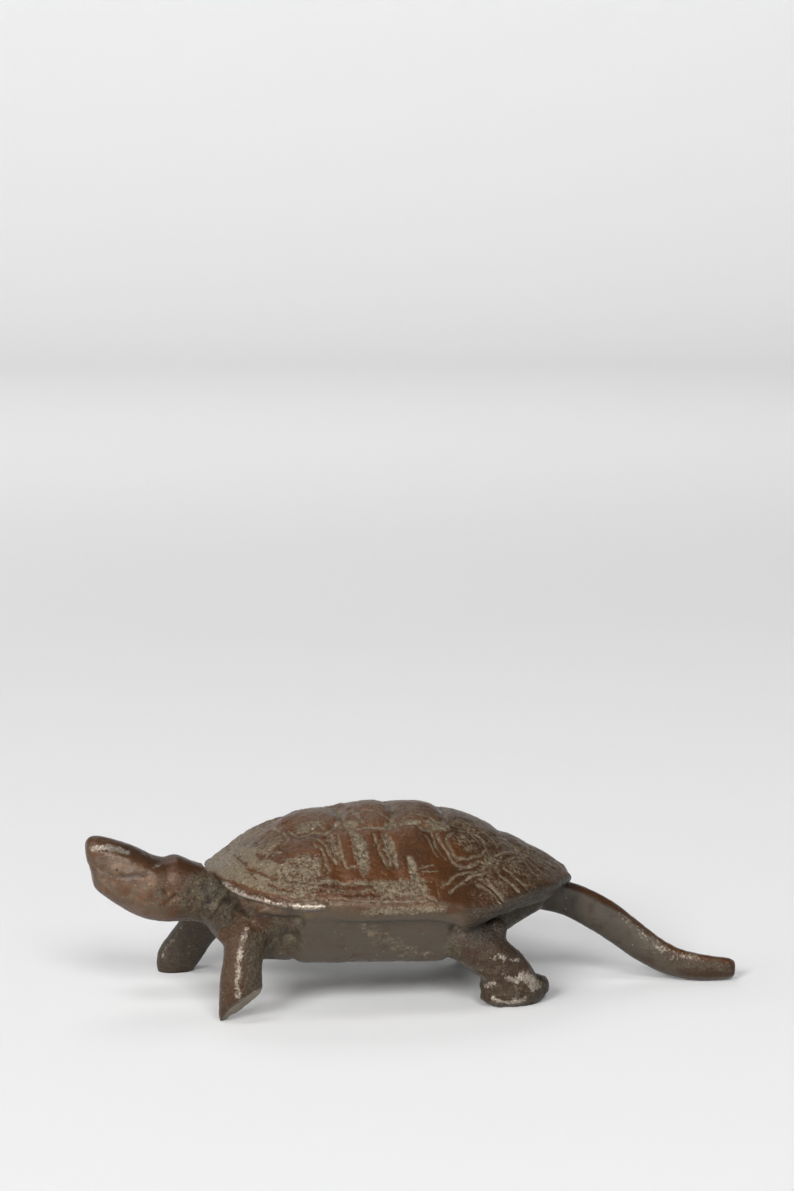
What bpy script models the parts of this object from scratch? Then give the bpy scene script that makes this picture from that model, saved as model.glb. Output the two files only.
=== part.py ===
# A small cast bronze turtle, walking with its head stretched out: one solid casting.
# The head points to -X, the tail to +X, +Z is up and the feet stand on Z = 0.
# Every length below is in millimetres and becomes metres when it enters a mesh.

import math

import bmesh
import bpy
import numpy as np
from mathutils import Vector

MM = 0.001

# Outline of the shell seen from above, on both sides of its widest section.
WIDEST_X = 3.0
FRONT_LENGTH = 35.1
REAR_LENGTH = 30.2
HALF_WIDTH = 24.0
FRONT_SQUARENESS = 3.3
REAR_SQUARENESS = 1.85

# Heights above the ground: top of the dome, and its edge at the front, side and rear.
DOME_TOP = 33.7
EDGE_FRONT = 23.4
EDGE_SIDE = 20.9
EDGE_REAR = 19.0
EDGE_DIP = 1.9
EDGE_DIP_AT = 0.33
EDGE_DIP_WIDTH = 0.2
FRONT_FULLNESS = 2.9
SIDE_FULLNESS = 2.2
REAR_FULLNESS = 1.66
BAND_FRONT = 2.2
BAND_SIDE = 3.6
BAND_REAR = 3.0

# Seams between the shell's plates, as points (x, distance from the keel). The outer
# row of plates starts at EDGE_ROW of the way out to the edge.
KEEL_SEAMS = ((-20.3, 6.2), (-9.8, 6.0), (2.6, 5.8), (11.7, 5.4), (21.0, 4.6))
SIDE_SEAMS = ((-23.0, 13.0), (-11.4, 11.4), (-2.8, 11.4), (5.8, 10.6), (16.2, 8.8))
SIDE_SEAM_FEET = ((-26.0, 15.0), (-12.4, 21.0), (-3.4, 21.0), (9.0, 20.0), (20.5, 14.5))
EDGE_ROW = 0.84
EDGE_SEAM_ANGLES = (14.0, 33.0, 52.0, 71.0, 95.0, 118.0, 140.0, 162.0)
SEAM_DEPTH = 0.6
SEAM_WIDTH = 0.6
GROWTH_PITCH = 1.5
GROWTH_HEIGHT = 0.14
GROWTH_REACH = 3.2
KNOBS = ((-13.2, 0.55), (-3.0, 0.75), (6.6, 0.75), (15.2, 0.65), (24.0, 0.4))
TOOTH = 0.9

# Lines on each side of the head, as (x, z) points with their height and half width.
MOUTH = ((-53.4, 25.2), (-51.0, 24.3), (-49.7, 23.7), (-47.0, 23.3), (-43.5, 23.9))
JAW_FOLD = ((-45.0, 18.4), (-42.6, 20.4), (-40.8, 24.2))
NECK_CREASE = ((-41.0, 17.6), (-39.4, 20.4), (-39.4, 24.6))
HEAD_LINES = ((MOUTH, -0.3, 0.45), (JAW_FOLD, 0.3, 0.8), (NECK_CREASE, -0.3, 0.6))

# Meshing of the solid.
CELL = 0.55
SMOOTHING_ROUNDS = 6
TRIANGLES = 9400


def smooth_step(low, high, value):
    """0 below low, 1 above high and a smooth rise between them."""
    share = min(max((value - low) / (high - low), 0.0), 1.0)
    return share * share * (3.0 - 2.0 * share)


def signed_power(value, power):
    return math.copysign(abs(value) ** power, value)


def blend_around(cosine, front, side, rear):
    """A value that changes smoothly from the rear, past the side, to the front."""
    share = cosine * cosine
    return side + ((rear if cosine > 0.0 else front) - side) * share


def shell_outline(x):
    """Length and squareness of the half of the outline that x lies in."""
    if x < WIDEST_X:
        return FRONT_LENGTH, FRONT_SQUARENESS
    return REAR_LENGTH, REAR_SQUARENESS


def shell_place(x, y):
    """How far out a point lies, 1 on the edge, and the cosine of its direction."""
    length, square = shell_outline(x)
    along = (abs(x - WIDEST_X) / length) ** square
    across = (abs(y) / HALF_WIDTH) ** square
    total = max(along + across, 1e-9)
    return total ** (1.0 / square), math.copysign(math.sqrt(along / total), x - WIDEST_X)


def edge_height(cosine):
    """Height of the shell's edge, which hangs lowest over the hind legs."""
    dip = EDGE_DIP * math.exp(-(((cosine - EDGE_DIP_AT) / EDGE_DIP_WIDTH) ** 2))
    return blend_around(cosine, EDGE_FRONT, EDGE_SIDE, EDGE_REAR) - dip


def dome_height(outward, cosine):
    """Height of the dome at that share of the way out to its edge."""
    full = blend_around(cosine, FRONT_FULLNESS, SIDE_FULLNESS, REAR_FULLNESS)
    edge = edge_height(cosine)
    return DOME_TOP - (DOME_TOP - edge) * outward**full


def clear_scene():
    for obj in list(bpy.data.objects):
        bpy.data.objects.remove(obj, do_unlink=True)


def object_from(bm, name):
    mesh = bpy.data.meshes.new(name)
    bmesh.ops.recalc_face_normals(bm, faces=bm.faces)
    bm.to_mesh(mesh)
    bm.free()
    obj = bpy.data.objects.new(name, mesh)
    bpy.context.scene.collection.objects.link(obj)
    return obj


def add_shell(bm):
    """A ball pressed into the dome above the edge and a thick edge band below it."""
    ball = bmesh.ops.create_uvsphere(bm, u_segments=96, v_segments=64, radius=1.0)
    for vert in ball["verts"]:
        x, y, z = vert.co
        outward = min(math.hypot(x, y), 1.0)
        cosine = x / outward if outward > 1e-6 else 1.0
        sine = y / outward if outward > 1e-6 else 0.0
        front = cosine < 0.0
        length = FRONT_LENGTH if front else REAR_LENGTH
        power = 2.0 / (FRONT_SQUARENESS if front else REAR_SQUARENESS)
        reach = outward if z >= 0.0 else outward**0.35
        height = dome_height(outward, cosine)
        if z < 0.0:
            band = blend_around(cosine, BAND_FRONT, BAND_SIDE, BAND_REAR)
            depth = min(-z * 2.2, 1.0)
            height = edge_height(cosine) - band * depth
            reach *= 1.0 - 0.035 * depth
        vert.co = Vector(
            (
                WIDEST_X + length * reach * signed_power(cosine, power),
                HALF_WIDTH * reach * signed_power(sine, power),
                height,
            )
        )


def between(keys, steps):
    """Points on a smooth path through the key rows, with that many steps per gap."""
    rows = np.array(keys, float)
    padded = np.vstack([2 * rows[0] - rows[1], rows, 2 * rows[-1] - rows[-2]])
    path = []
    for gap in range(len(rows) - 1):
        before, start, end, after = padded[gap : gap + 4]
        for step in range(steps):
            t = step / steps
            path.append(
                0.5
                * (
                    2 * start
                    + (end - before) * t
                    + (2 * before - 5 * start + 4 * end - after) * t * t
                    + (3 * start - before - 3 * end + after) * t**3
                )
            )
    path.append(rows[-1])
    return path


def add_limb(bm, keys, upwards, roundness=2.0, facing=None, steps=4, segments=28):
    """Rings along a path, joined and capped, square to the path or facing one way.

    A key is x, y, z, half the width and half the height; the height is measured
    towards upwards.
    """
    path = between(keys, steps)
    limb = []
    before = None
    for index, row in enumerate(path):
        ahead = path[min(index + 1, len(path) - 1)][:3]
        behind = path[max(index - 1, 0)][:3]
        along = Vector(facing or ahead - behind).normalized()
        side = along.cross(Vector(upwards)).normalized()
        rise = side.cross(along).normalized()
        ring = bmesh.ops.create_circle(bm, segments=segments, radius=1.0)["verts"]
        for vert in ring:
            across = signed_power(vert.co.x, 2.0 / roundness) * row[3]
            tall = signed_power(vert.co.y, 2.0 / roundness) * row[4]
            vert.co = Vector(row[:3]) + side * across + rise * tall
        edges = list({edge for vert in ring for edge in vert.link_edges})
        if before is None:
            bmesh.ops.holes_fill(bm, edges=edges)
        else:
            bmesh.ops.bridge_loops(bm, edges=before + edges)
        before = edges
        limb += ring
    bmesh.ops.holes_fill(bm, edges=before)
    return limb


def cut_sole(bm, limb, point, outward):
    """Cuts the limb off along a plane and closes it with a flat face."""
    edges = {edge for vert in limb for edge in vert.link_edges}
    faces = {face for vert in limb for face in vert.link_faces}
    cut = bmesh.ops.bisect_plane(
        bm,
        geom=limb + list(edges) + list(faces),
        plane_co=point,
        plane_no=outward,
        clear_outer=True,
    )
    rim = [part for part in cut["geom_cut"] if isinstance(part, bmesh.types.BMEdge)]
    bmesh.ops.holes_fill(bm, edges=rim)


def add_ball(bm, centre, radii, turn=0.0, tilt=0.0):
    """A stretched ball, tilted about Y and then turned about Z, in degrees."""
    ball = bmesh.ops.create_icosphere(bm, subdivisions=3, radius=1.0)
    for vert in ball["verts"]:
        x, y, z = (part * size for part, size in zip(vert.co, radii))
        slope = math.radians(tilt)
        x, z = x * math.cos(slope) + z * math.sin(slope), z * math.cos(slope) - x * math.sin(slope)
        spin = math.radians(turn)
        x, y = x * math.cos(spin) - y * math.sin(spin), x * math.sin(spin) + y * math.cos(spin)
        vert.co = Vector((centre[0] + x, centre[1] + y, centre[2] + z))


def add_bridge(bm, ends, halves, floors):
    """A block under the shell: wide at the top, narrow at its floor."""
    block = bmesh.ops.create_cube(bm, size=2.0)["verts"]
    for vert in block:
        top = vert.co.z > 0.0
        rear = vert.co.x > 0.0
        vert.co.x = ends[rear]
        vert.co.y *= halves[not top]
        vert.co.z = 20.0 if top else floors[rear]
    edges = list({edge for vert in block for edge in vert.link_edges})
    bmesh.ops.bevel(bm, geom=edges, offset=1.4, segments=3, affect="EDGES", profile=0.5)


def add_belly(bm):
    """The bridges down from the shell's sides, the flat belly plate and the chest."""
    add_bridge(bm, (-18.9, 8.4), (22.5, 15.4), (8.8, 7.9))
    add_bridge(bm, (-27.0, -17.0), (20.4, 14.0), (10.3, 9.6))
    torso = (
        (-31.0, 0.0, 18.4, 8.0, 4.4),
        (-26.0, 0.0, 14.9, 13.0, 6.2),
        (-18.0, 0.0, 14.4, 15.6, 5.4),
        (0.0, 0.0, 14.0, 16.4, 5.9),
        (9.0, 0.0, 13.9, 16.2, 5.9),
        (18.0, 0.0, 15.2, 14.0, 4.2),
        (27.0, 0.0, 17.2, 8.5, 2.6),
    )
    add_limb(bm, torso, (0, 0, 1), roundness=3.0, segments=48)


def add_neck_and_head(bm):
    """Upright rings from inside the chest to the snout, given as bottom and top."""
    outline = (
        (-24.0, 8.0, 11.6, 22.8),
        (-29.0, 6.6, 12.6, 23.4),
        (-33.5, 5.8, 13.8, 24.0),
        (-36.6, 5.4, 14.2, 25.2),
        (-38.2, 5.3, 14.2, 25.5),
        (-39.6, 5.3, 14.3, 25.2),
        (-41.6, 5.7, 14.6, 25.5),
        (-44.2, 5.6, 15.4, 26.9),
        (-46.8, 5.1, 16.7, 28.1),
        (-49.2, 4.4, 18.3, 28.8),
        (-51.2, 3.5, 20.3, 29.3),
        (-52.6, 2.6, 22.8, 29.3),
        (-53.4, 1.9, 25.0, 28.9),
        (-53.8, 1.0, 26.2, 28.2),
    )
    keys = [
        (x, 0.0, (bottom + top) / 2.0, half, (top - bottom) / 2.0)
        for x, half, bottom, top in outline
    ]
    add_limb(bm, keys, (0, 0, 1), roundness=2.3, facing=(-1, 0, 0), segments=36)


def add_front_legs(bm):
    near = (
        (-25.6, -12.5, 18.0, 4.0, 3.6),
        (-27.6, -16.4, 14.6, 3.8, 3.3),
        (-29.0, -18.4, 10.5, 3.5, 2.7),
        (-29.4, -18.9, 6.5, 3.7, 2.5),
        (-29.2, -18.4, 2.5, 4.1, 2.3),
        (-28.8, -18.0, -1.5, 4.1, 2.3),
    )
    leg = add_limb(bm, near, (0, 1, 0.2), roundness=2.2)
    cut_sole(bm, leg, (-29.2, -18.4, 2.1), (0.5, 0.0, -0.86))
    far = (
        (-26.0, 10.0, 17.0, 4.2, 3.6),
        (-28.6, 14.0, 13.0, 3.8, 3.4),
        (-31.6, 17.4, 9.0, 3.6, 2.9),
        (-33.9, 19.4, 5.0, 3.7, 2.6),
        (-35.3, 20.4, 1.9, 3.7, 2.6),
        (-35.8, 20.6, -1.0, 2.9, 2.2),
    )
    add_limb(bm, far, (0, 1, 0.2), roundness=2.2)
    add_ball(bm, (-31.2, -16.2, 14.2), (1.2, 1.2, 1.2))


def add_rear_legs(bm):
    for side in (-1.0, 1.0):
        leg = (
            (8.4, side * 11.0, 15.0, 4.6, 4.6),
            (12.0, side * 15.0, 12.0, 4.5, 4.4),
            (16.2, side * 16.4, 8.4, 4.0, 3.6),
            (18.8, side * 16.0, 5.0, 4.2, 3.0),
            (20.0, side * 15.2, 1.6, 5.3, 3.0),
            (20.2, side * 15.0, -0.4, 5.2, 2.6),
        )
        add_limb(bm, leg, (0, -side, 0.2), roundness=2.2)
        add_ball(bm, (20.0, side * 14.9, 1.5), (7.2, 3.9, 2.2), turn=-side * 18.0)
        add_ball(bm, (16.6, side * 15.6, 13.4), (2.2, 2.4, 2.4))


def add_tail(bm):
    keys = (
        (22.0, 0.0, 17.2, 5.0, 2.6),
        (28.0, 0.0, 16.2, 3.6, 2.9),
        (33.0, -0.3, 14.9, 2.8, 3.1),
        (38.0, -0.9, 12.2, 2.4, 3.2),
        (43.0, -1.8, 8.7, 2.3, 3.0),
        (47.5, -2.8, 5.4, 2.2, 2.8),
        (52.0, -4.0, 3.0, 2.1, 2.5),
        (57.0, -5.2, 2.1, 2.0, 2.4),
        (61.0, -5.9, 2.2, 1.9, 2.1),
        (63.0, -6.2, 2.2, 1.7, 1.7),
        (63.5, -6.3, 2.2, 1.2, 1.2),
    )
    add_limb(bm, keys, (0, 0, 1), roundness=2.2)


def build_body():
    """All the overlapping shapes as one mesh, run together into a single skin."""
    bm = bmesh.new()
    add_shell(bm)
    add_belly(bm)
    add_neck_and_head(bm)
    add_front_legs(bm)
    add_rear_legs(bm)
    add_tail(bm)
    bmesh.ops.scale(bm, vec=(MM, MM, MM), verts=bm.verts)
    return object_from(bm, "turtle")


def run_together(obj):
    skin = obj.modifiers.new("one skin", "REMESH")
    skin.mode = "VOXEL"
    skin.voxel_size = CELL * MM
    soften = obj.modifiers.new("soften", "SMOOTH")
    soften.factor = 0.5
    soften.iterations = SMOOTHING_ROUNDS
    settle_modifiers(obj)


def settle_modifiers(obj):
    """Turns what the modifiers show into the object's own mesh."""
    graph = bpy.context.evaluated_depsgraph_get()
    settled = bpy.data.meshes.new_from_object(obj.evaluated_get(graph))
    obj.modifiers.clear()
    obj.data = settled
    settled.name = obj.name


def segment_distance(x, y, start, end):
    run = (end[0] - start[0], end[1] - start[1])
    reach = (x - start[0], y - start[1])
    share = (reach[0] * run[0] + reach[1] * run[1]) / (run[0] ** 2 + run[1] ** 2)
    share = min(max(share, 0.0), 1.0)
    return math.hypot(reach[0] - share * run[0], reach[1] - share * run[1])


def line_distance(x, y, points):
    return min(segment_distance(x, y, *pair) for pair in zip(points, points[1:]))


def inner_seams():
    """Seams across the keel, the zigzag beside it and the seams down the sides."""
    seams = [((x, 0.0), (x, y)) for x, y in KEEL_SEAMS]
    zigzag = sorted(KEEL_SEAMS + SIDE_SEAMS)
    seams += zip(zigzag, zigzag[1:])
    seams += zip(SIDE_SEAMS, SIDE_SEAM_FEET)
    return seams


def rounded_least(distances, corner):
    """The least distance, with a rounded corner where two of them are near."""
    near = [max(corner - distance, 0.0) for distance in distances]
    return corner - math.sqrt(sum(part * part for part in near))


def seam_gap(x, y, outward, seams):
    """Distance from a point on the shell to the nearest seam."""
    length, _ = shell_outline(x)
    spread = math.hypot((x - WIDEST_X), y) / max(outward, 0.05)
    edge_row = (outward - EDGE_ROW) * spread
    if edge_row > 0.0:
        angle = math.degrees(math.atan2(abs(y) / HALF_WIDTH, (x - WIDEST_X) / length))
        turn = min(abs(angle - seam) for seam in EDGE_SEAM_ANGLES)
        return min(edge_row, math.radians(turn) * spread)
    gaps = sorted(segment_distance(x, abs(y), *seam) for seam in seams)
    return rounded_least((gaps[0], -edge_row), 1.5)


def shell_relief(x, y, outward, seams):
    """Height of the plates' pattern above the plain dome."""
    gap = seam_gap(x, y, outward, seams)
    seam = -SEAM_DEPTH * math.exp(-((gap / SEAM_WIDTH) ** 2))
    fade = smooth_step(0.4, 0.9, gap) * (1.0 - smooth_step(0.8, GROWTH_REACH, gap))
    growth = -GROWTH_HEIGHT * math.cos(2.0 * math.pi * gap / GROWTH_PITCH) * fade
    knob = sum(
        height * math.exp(-(((x - at) / 3.2) ** 2) - (y / 4.5) ** 2) for at, height in KNOBS
    )
    return seam + growth + knob


def rear_teeth(x, y, outward):
    """How far the edge of the rear plates stands out, most just before each seam."""
    angle = math.degrees(math.atan2(abs(y) / HALF_WIDTH, (x - WIDEST_X) / REAR_LENGTH))
    if angle > EDGE_SEAM_ANGLES[3]:
        return 0.0
    below = max((seam for seam in EDGE_SEAM_ANGLES if seam <= angle), default=-14.0)
    above = min(seam for seam in EDGE_SEAM_ANGLES if seam > angle)
    share = (above - angle) / (above - below)
    return TOOTH * share * smooth_step(0.9, 1.0, outward)


def raise_shell_pattern(bm):
    seams = inner_seams()
    for vert in bm.verts:
        x, y, z = vert.co / MM
        outward, cosine = shell_place(x, y)
        height = dome_height(min(outward, 1.0), cosine)
        low = edge_height(cosine) - 0.4
        if outward > 1.03 or z < height - 1.2 or z < low:
            continue
        rise = shell_relief(x, y, outward, seams) * smooth_step(low, low + 1.2, z)
        vert.co += vert.normal * rise * MM
        away = Vector((x - WIDEST_X, y, 0.0)).normalized()
        vert.co += away * rear_teeth(x, y, outward) * MM


def raise_head_pattern(bm):
    for vert in bm.verts:
        x, y, z = vert.co / MM
        if x > -35.0:
            continue
        sideways = smooth_step(0.2, 0.6, abs(vert.normal.y))
        for points, height, width in HEAD_LINES:
            gap = line_distance(x, z, points)
            rise = height * math.exp(-((gap / width) ** 2)) * sideways
            vert.co += vert.normal * rise * MM


def raise_pattern(obj):
    bm = bmesh.new()
    bm.from_mesh(obj.data)
    bm.normal_update()
    raise_shell_pattern(bm)
    raise_head_pattern(bm)
    bm.to_mesh(obj.data)
    bm.free()


def thin_out(obj):
    thin = obj.modifiers.new("facets", "DECIMATE")
    thin.ratio = TRIANGLES / (2.0 * len(obj.data.polygons))
    settle_modifiers(obj)


def flatten_feet(obj):
    """Cuts everything below the ground away, so that the feet get flat soles."""
    bm = bmesh.new()
    bm.from_mesh(obj.data)
    cut = bmesh.ops.bisect_plane(
        bm,
        geom=bm.verts[:] + bm.edges[:] + bm.faces[:],
        plane_co=(0, 0, 0),
        plane_no=(0, 0, 1),
        clear_inner=True,
    )
    rim = [part for part in cut["geom_cut"] if isinstance(part, bmesh.types.BMEdge)]
    bmesh.ops.holes_fill(bm, edges=rim)
    bmesh.ops.triangulate(bm, faces=bm.faces)
    bm.to_mesh(obj.data)
    bm.free()


def centre_on_ground(obj):
    """Puts the middle of the outside size over the origin, with the feet on Z = 0."""
    corners = [vert.co for vert in obj.data.vertices]
    for axis in (0, 1):
        low = min(corner[axis] for corner in corners)
        high = max(corner[axis] for corner in corners)
        for corner in corners:
            corner[axis] -= (low + high) / 2.0


def bronze():
    material = bpy.data.materials.new("bronze")
    material.use_nodes = True
    shader = material.node_tree.nodes["Principled BSDF"]
    shader.inputs["Base Color"].default_value = (0.12, 0.06, 0.035, 1.0)
    shader.inputs["Metallic"].default_value = 0.6
    shader.inputs["Roughness"].default_value = 0.45
    return material


def main():
    clear_scene()
    turtle = build_body()
    run_together(turtle)
    raise_pattern(turtle)
    thin_out(turtle)
    flatten_feet(turtle)
    centre_on_ground(turtle)
    turtle.data.materials.append(bronze())


main()
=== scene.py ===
import math

import bmesh
import bpy
import numpy as np
from mathutils import Matrix, Vector, noise


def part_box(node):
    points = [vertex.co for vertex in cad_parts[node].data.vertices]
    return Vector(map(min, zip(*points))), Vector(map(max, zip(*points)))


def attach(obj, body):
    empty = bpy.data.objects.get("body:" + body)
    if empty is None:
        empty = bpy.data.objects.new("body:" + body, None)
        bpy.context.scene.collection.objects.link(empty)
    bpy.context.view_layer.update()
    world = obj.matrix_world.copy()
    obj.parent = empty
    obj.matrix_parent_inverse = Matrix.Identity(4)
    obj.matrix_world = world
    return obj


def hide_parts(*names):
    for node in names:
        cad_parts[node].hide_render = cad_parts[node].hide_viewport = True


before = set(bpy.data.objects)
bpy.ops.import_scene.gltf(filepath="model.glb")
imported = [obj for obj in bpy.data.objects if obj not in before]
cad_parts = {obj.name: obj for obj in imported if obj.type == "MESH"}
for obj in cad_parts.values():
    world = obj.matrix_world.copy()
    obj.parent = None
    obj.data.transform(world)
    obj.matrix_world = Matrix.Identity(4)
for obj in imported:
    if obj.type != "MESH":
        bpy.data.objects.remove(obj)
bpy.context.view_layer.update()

# The casting is drawn in millimetres, head towards -X and feet on Z = 0. At the end it is
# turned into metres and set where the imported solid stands.
mm = 0.001

shell = {
    "widestX": 3.0,
    "frontLength": 35.1,
    "rearLength": 30.2,
    "halfWidth": 24.0,
    "frontSquareness": 3.3,
    "rearSquareness": 1.85,
    "domeTop": 33.7,
    "edgeHeights": (23.4, 20.9, 20.2),  # front, side, rear
    "fullness": (2.52, 2.2, 1.72),
    "bandHeights": (2.2, 3.6, 3.0),
    "edgeDip": (1.9, 0.33, 0.2),  # how far, where and how wide the edge hangs over the legs
}

meshing = {
    "voxel": 0.5,
    "smoothing": 7,
    "detailSmoothing": 2,
    "triangles": 196000,
}


# small helpers
def smoothStep(low, high, value):
    share = np.clip((value - low) / (high - low), 0.0, 1.0)
    return share * share * (3.0 - 2.0 * share)


def signedPower(value, power):
    return np.copysign(np.abs(value) ** power, value)


def fallOff(full, gone, value):
    return 1.0 - smoothStep(full, gone, value)


def window(value, start, full, fading, gone):
    # rises from start to full and falls from fading to gone
    return smoothStep(start, full, value) * fallOff(fading, gone, value)


def blendAround(cosine, front, side, rear):
    return side + (np.where(cosine > 0.0, rear, front) - side) * cosine * cosine


def bell(distance, width):
    return np.exp(-((distance / width) ** 2))


def noiseAt(points, size, octaves=1, seed=0.0):
    shift = Vector((seed, seed * 1.7, -seed * 0.6))
    if octaves == 1:
        return np.array([noise.noise(Vector(p) / size + shift) for p in points])
    return np.array([noise.fractal(Vector(p) / size + shift, 0.7, 2.0, octaves) for p in points])


def blob(points, centre, radii, edge=0.45):
    away = np.sqrt((((points - centre) / radii) ** 2).sum(axis=1))
    return fallOff(1.0 - edge, 1.0 + edge, away)


def pathDistance(points, path):
    # distance to a path in the same two or three dimensions
    best = np.full(len(points), 1e9)
    for start, end in zip(path, path[1:]):
        start, run = np.array(start), np.subtract(end, start)
        share = np.clip(((points - start) @ run) / (run @ run), 0.0, 1.0)
        best = np.minimum(best, np.linalg.norm(points - start - share[:, None] * run, axis=1))
    return best


def alongPath(points, path, width):
    return bell(pathDistance(points, path), width)


def raiseMask(masks, name, level):
    masks[name] = np.maximum(masks[name], level)


# the shell's shape
def shellPlace(x, y):
    front = x < shell["widestX"]
    length = np.where(front, shell["frontLength"], shell["rearLength"])
    square = np.where(front, shell["frontSquareness"], shell["rearSquareness"])
    along = (np.abs(x - shell["widestX"]) / length) ** square
    across = (np.abs(y) / shell["halfWidth"]) ** square
    total = np.maximum(along + across, 1e-9)
    return total ** (1.0 / square), np.copysign(np.sqrt(along / total), x - shell["widestX"])


def edgeHeight(cosine):
    depth, at, width = shell["edgeDip"]
    return blendAround(cosine, *shell["edgeHeights"]) - depth * bell(cosine - at, width)


def domeHeight(outward, cosine):
    full = blendAround(cosine, *shell["fullness"])
    return shell["domeTop"] - (shell["domeTop"] - edgeHeight(cosine)) * outward**full


def addShell(bm):
    ball = bmesh.ops.create_uvsphere(bm, u_segments=144, v_segments=96, radius=1.0)["verts"]
    x, y, z = np.array([vert.co for vert in ball]).T
    outward = np.minimum(np.hypot(x, y), 1.0)
    safe = np.maximum(outward, 1e-6)
    cosine, sine = np.where(outward > 1e-6, x / safe, 1.0), np.where(outward > 1e-6, y / safe, 0.0)
    front = cosine < 0.0
    length = np.where(front, shell["frontLength"], shell["rearLength"])
    power = 2.0 / np.where(front, shell["frontSquareness"], shell["rearSquareness"])
    depth = np.clip(-z * 2.2, 0.0, 1.0)
    below = edgeHeight(cosine) - blendAround(cosine, *shell["bandHeights"]) * depth
    reach = np.where(z < 0.0, safe**0.35 * (1.0 - 0.035 * depth), outward)
    height = np.where(z < 0.0, below, domeHeight(outward, cosine))
    xs = shell["widestX"] + length * reach * signedPower(cosine, power)
    ys = shell["halfWidth"] * reach * signedPower(sine, power)
    for vert, place in zip(ball, zip(xs, ys, height)):
        vert.co = place


# body and limbs
def between(keys, steps):
    rows = np.array(keys, float)
    padded = np.vstack([2 * rows[0] - rows[1], rows, 2 * rows[-1] - rows[-2]])
    path = []
    for gap in range(len(rows) - 1):
        before, start, end, after = padded[gap : gap + 4]
        for step in range(steps):
            t = step / steps
            bend = (2 * before - 5 * start + 4 * end - after) * t * t
            twist = (3 * start - before - 3 * end + after) * t**3
            path.append(0.5 * (2 * start + (end - before) * t + bend + twist))
    path.append(rows[-1])
    return path


def addLimb(bm, keys, upwards, roundness=2.0, facing=None, steps=4, segments=36):
    # a key is x, y, z, half the width and half the height of a ring
    path = between(keys, steps)
    limb, before = [], None
    for index, row in enumerate(path):
        ahead = path[min(index + 1, len(path) - 1)][:3]
        behind = path[max(index - 1, 0)][:3]
        along = Vector(facing or ahead - behind).normalized()
        side = along.cross(Vector(upwards)).normalized()
        rise = side.cross(along).normalized()
        ring = bmesh.ops.create_circle(bm, segments=segments, radius=1.0)["verts"]
        for vert in ring:
            across = float(signedPower(vert.co.x, 2.0 / roundness)) * row[3]
            tall = float(signedPower(vert.co.y, 2.0 / roundness)) * row[4]
            vert.co = Vector(row[:3]) + side * across + rise * tall
        edges = list({edge for vert in ring for edge in vert.link_edges})
        if before is None:
            bmesh.ops.holes_fill(bm, edges=edges)
        else:
            bmesh.ops.bridge_loops(bm, edges=before + edges)
        before = edges
        limb += ring
    bmesh.ops.holes_fill(bm, edges=before)
    return limb


def fillCut(bm, cut):
    rim = [part for part in cut["geom_cut"] if isinstance(part, bmesh.types.BMEdge)]
    return bmesh.ops.holes_fill(bm, edges=rim)["faces"]


def cutSole(bm, limb, point, outward):
    edges = {edge for vert in limb for edge in vert.link_edges}
    faces = {face for vert in limb for face in vert.link_faces}
    cut = bmesh.ops.bisect_plane(
        bm, geom=limb + list(edges) + list(faces), plane_co=point, plane_no=outward, clear_outer=True
    )
    fillCut(bm, cut)


def addBall(bm, centre, radii, turn=0.0):
    ball = bmesh.ops.create_icosphere(bm, subdivisions=3, radius=1.0)["verts"]
    bmesh.ops.scale(bm, vec=radii, verts=ball)
    bmesh.ops.rotate(bm, cent=(0, 0, 0), matrix=Matrix.Rotation(math.radians(turn), 3, "Z"), verts=ball)
    bmesh.ops.translate(bm, vec=centre, verts=ball)


def addBridge(bm, ends, halves, floors):
    block = bmesh.ops.create_cube(bm, size=2.0)["verts"]
    for vert in block:
        top, rear = vert.co.z > 0.0, vert.co.x > 0.0
        height = belly["bridgeTop"] if top else floors[rear]
        vert.co = Vector((ends[rear], vert.co.y * halves[not top], height))
    edges = list({edge for vert in block for edge in vert.link_edges})
    rounding = belly["bevel"]
    bmesh.ops.bevel(bm, geom=edges, offset=rounding, segments=3, affect="EDGES", profile=0.5, material=-1)


belly = {
    "bridgeTop": 20,
    "bevel": 1.4,
    # ends along x, half widths at the top and the bottom and the floor at each end
    "bridges": (((-18.9, 8.4), (22.5, 15.4), (8.8, 7.9)), ((-27, -17), (20.4, 14), (9.5, 8.9))),
    "seams": (-15.5, -5.5, 4, 13),  # across the plates underneath
    "torso": (
        (-31, 0, 18.5, 8.6, 4.5),
        (-26, 0, 16, 13.6, 7.2),
        (-18, 0, 14.9, 15.8, 6),
        (0, 0, 14, 16.4, 5.9),
        (9, 0, 13.9, 16.2, 5.9),
        (18, 0, 15.2, 14, 4.2),
        (27, 0, 17.2, 8.5, 2.6),
    ),
}

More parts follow.
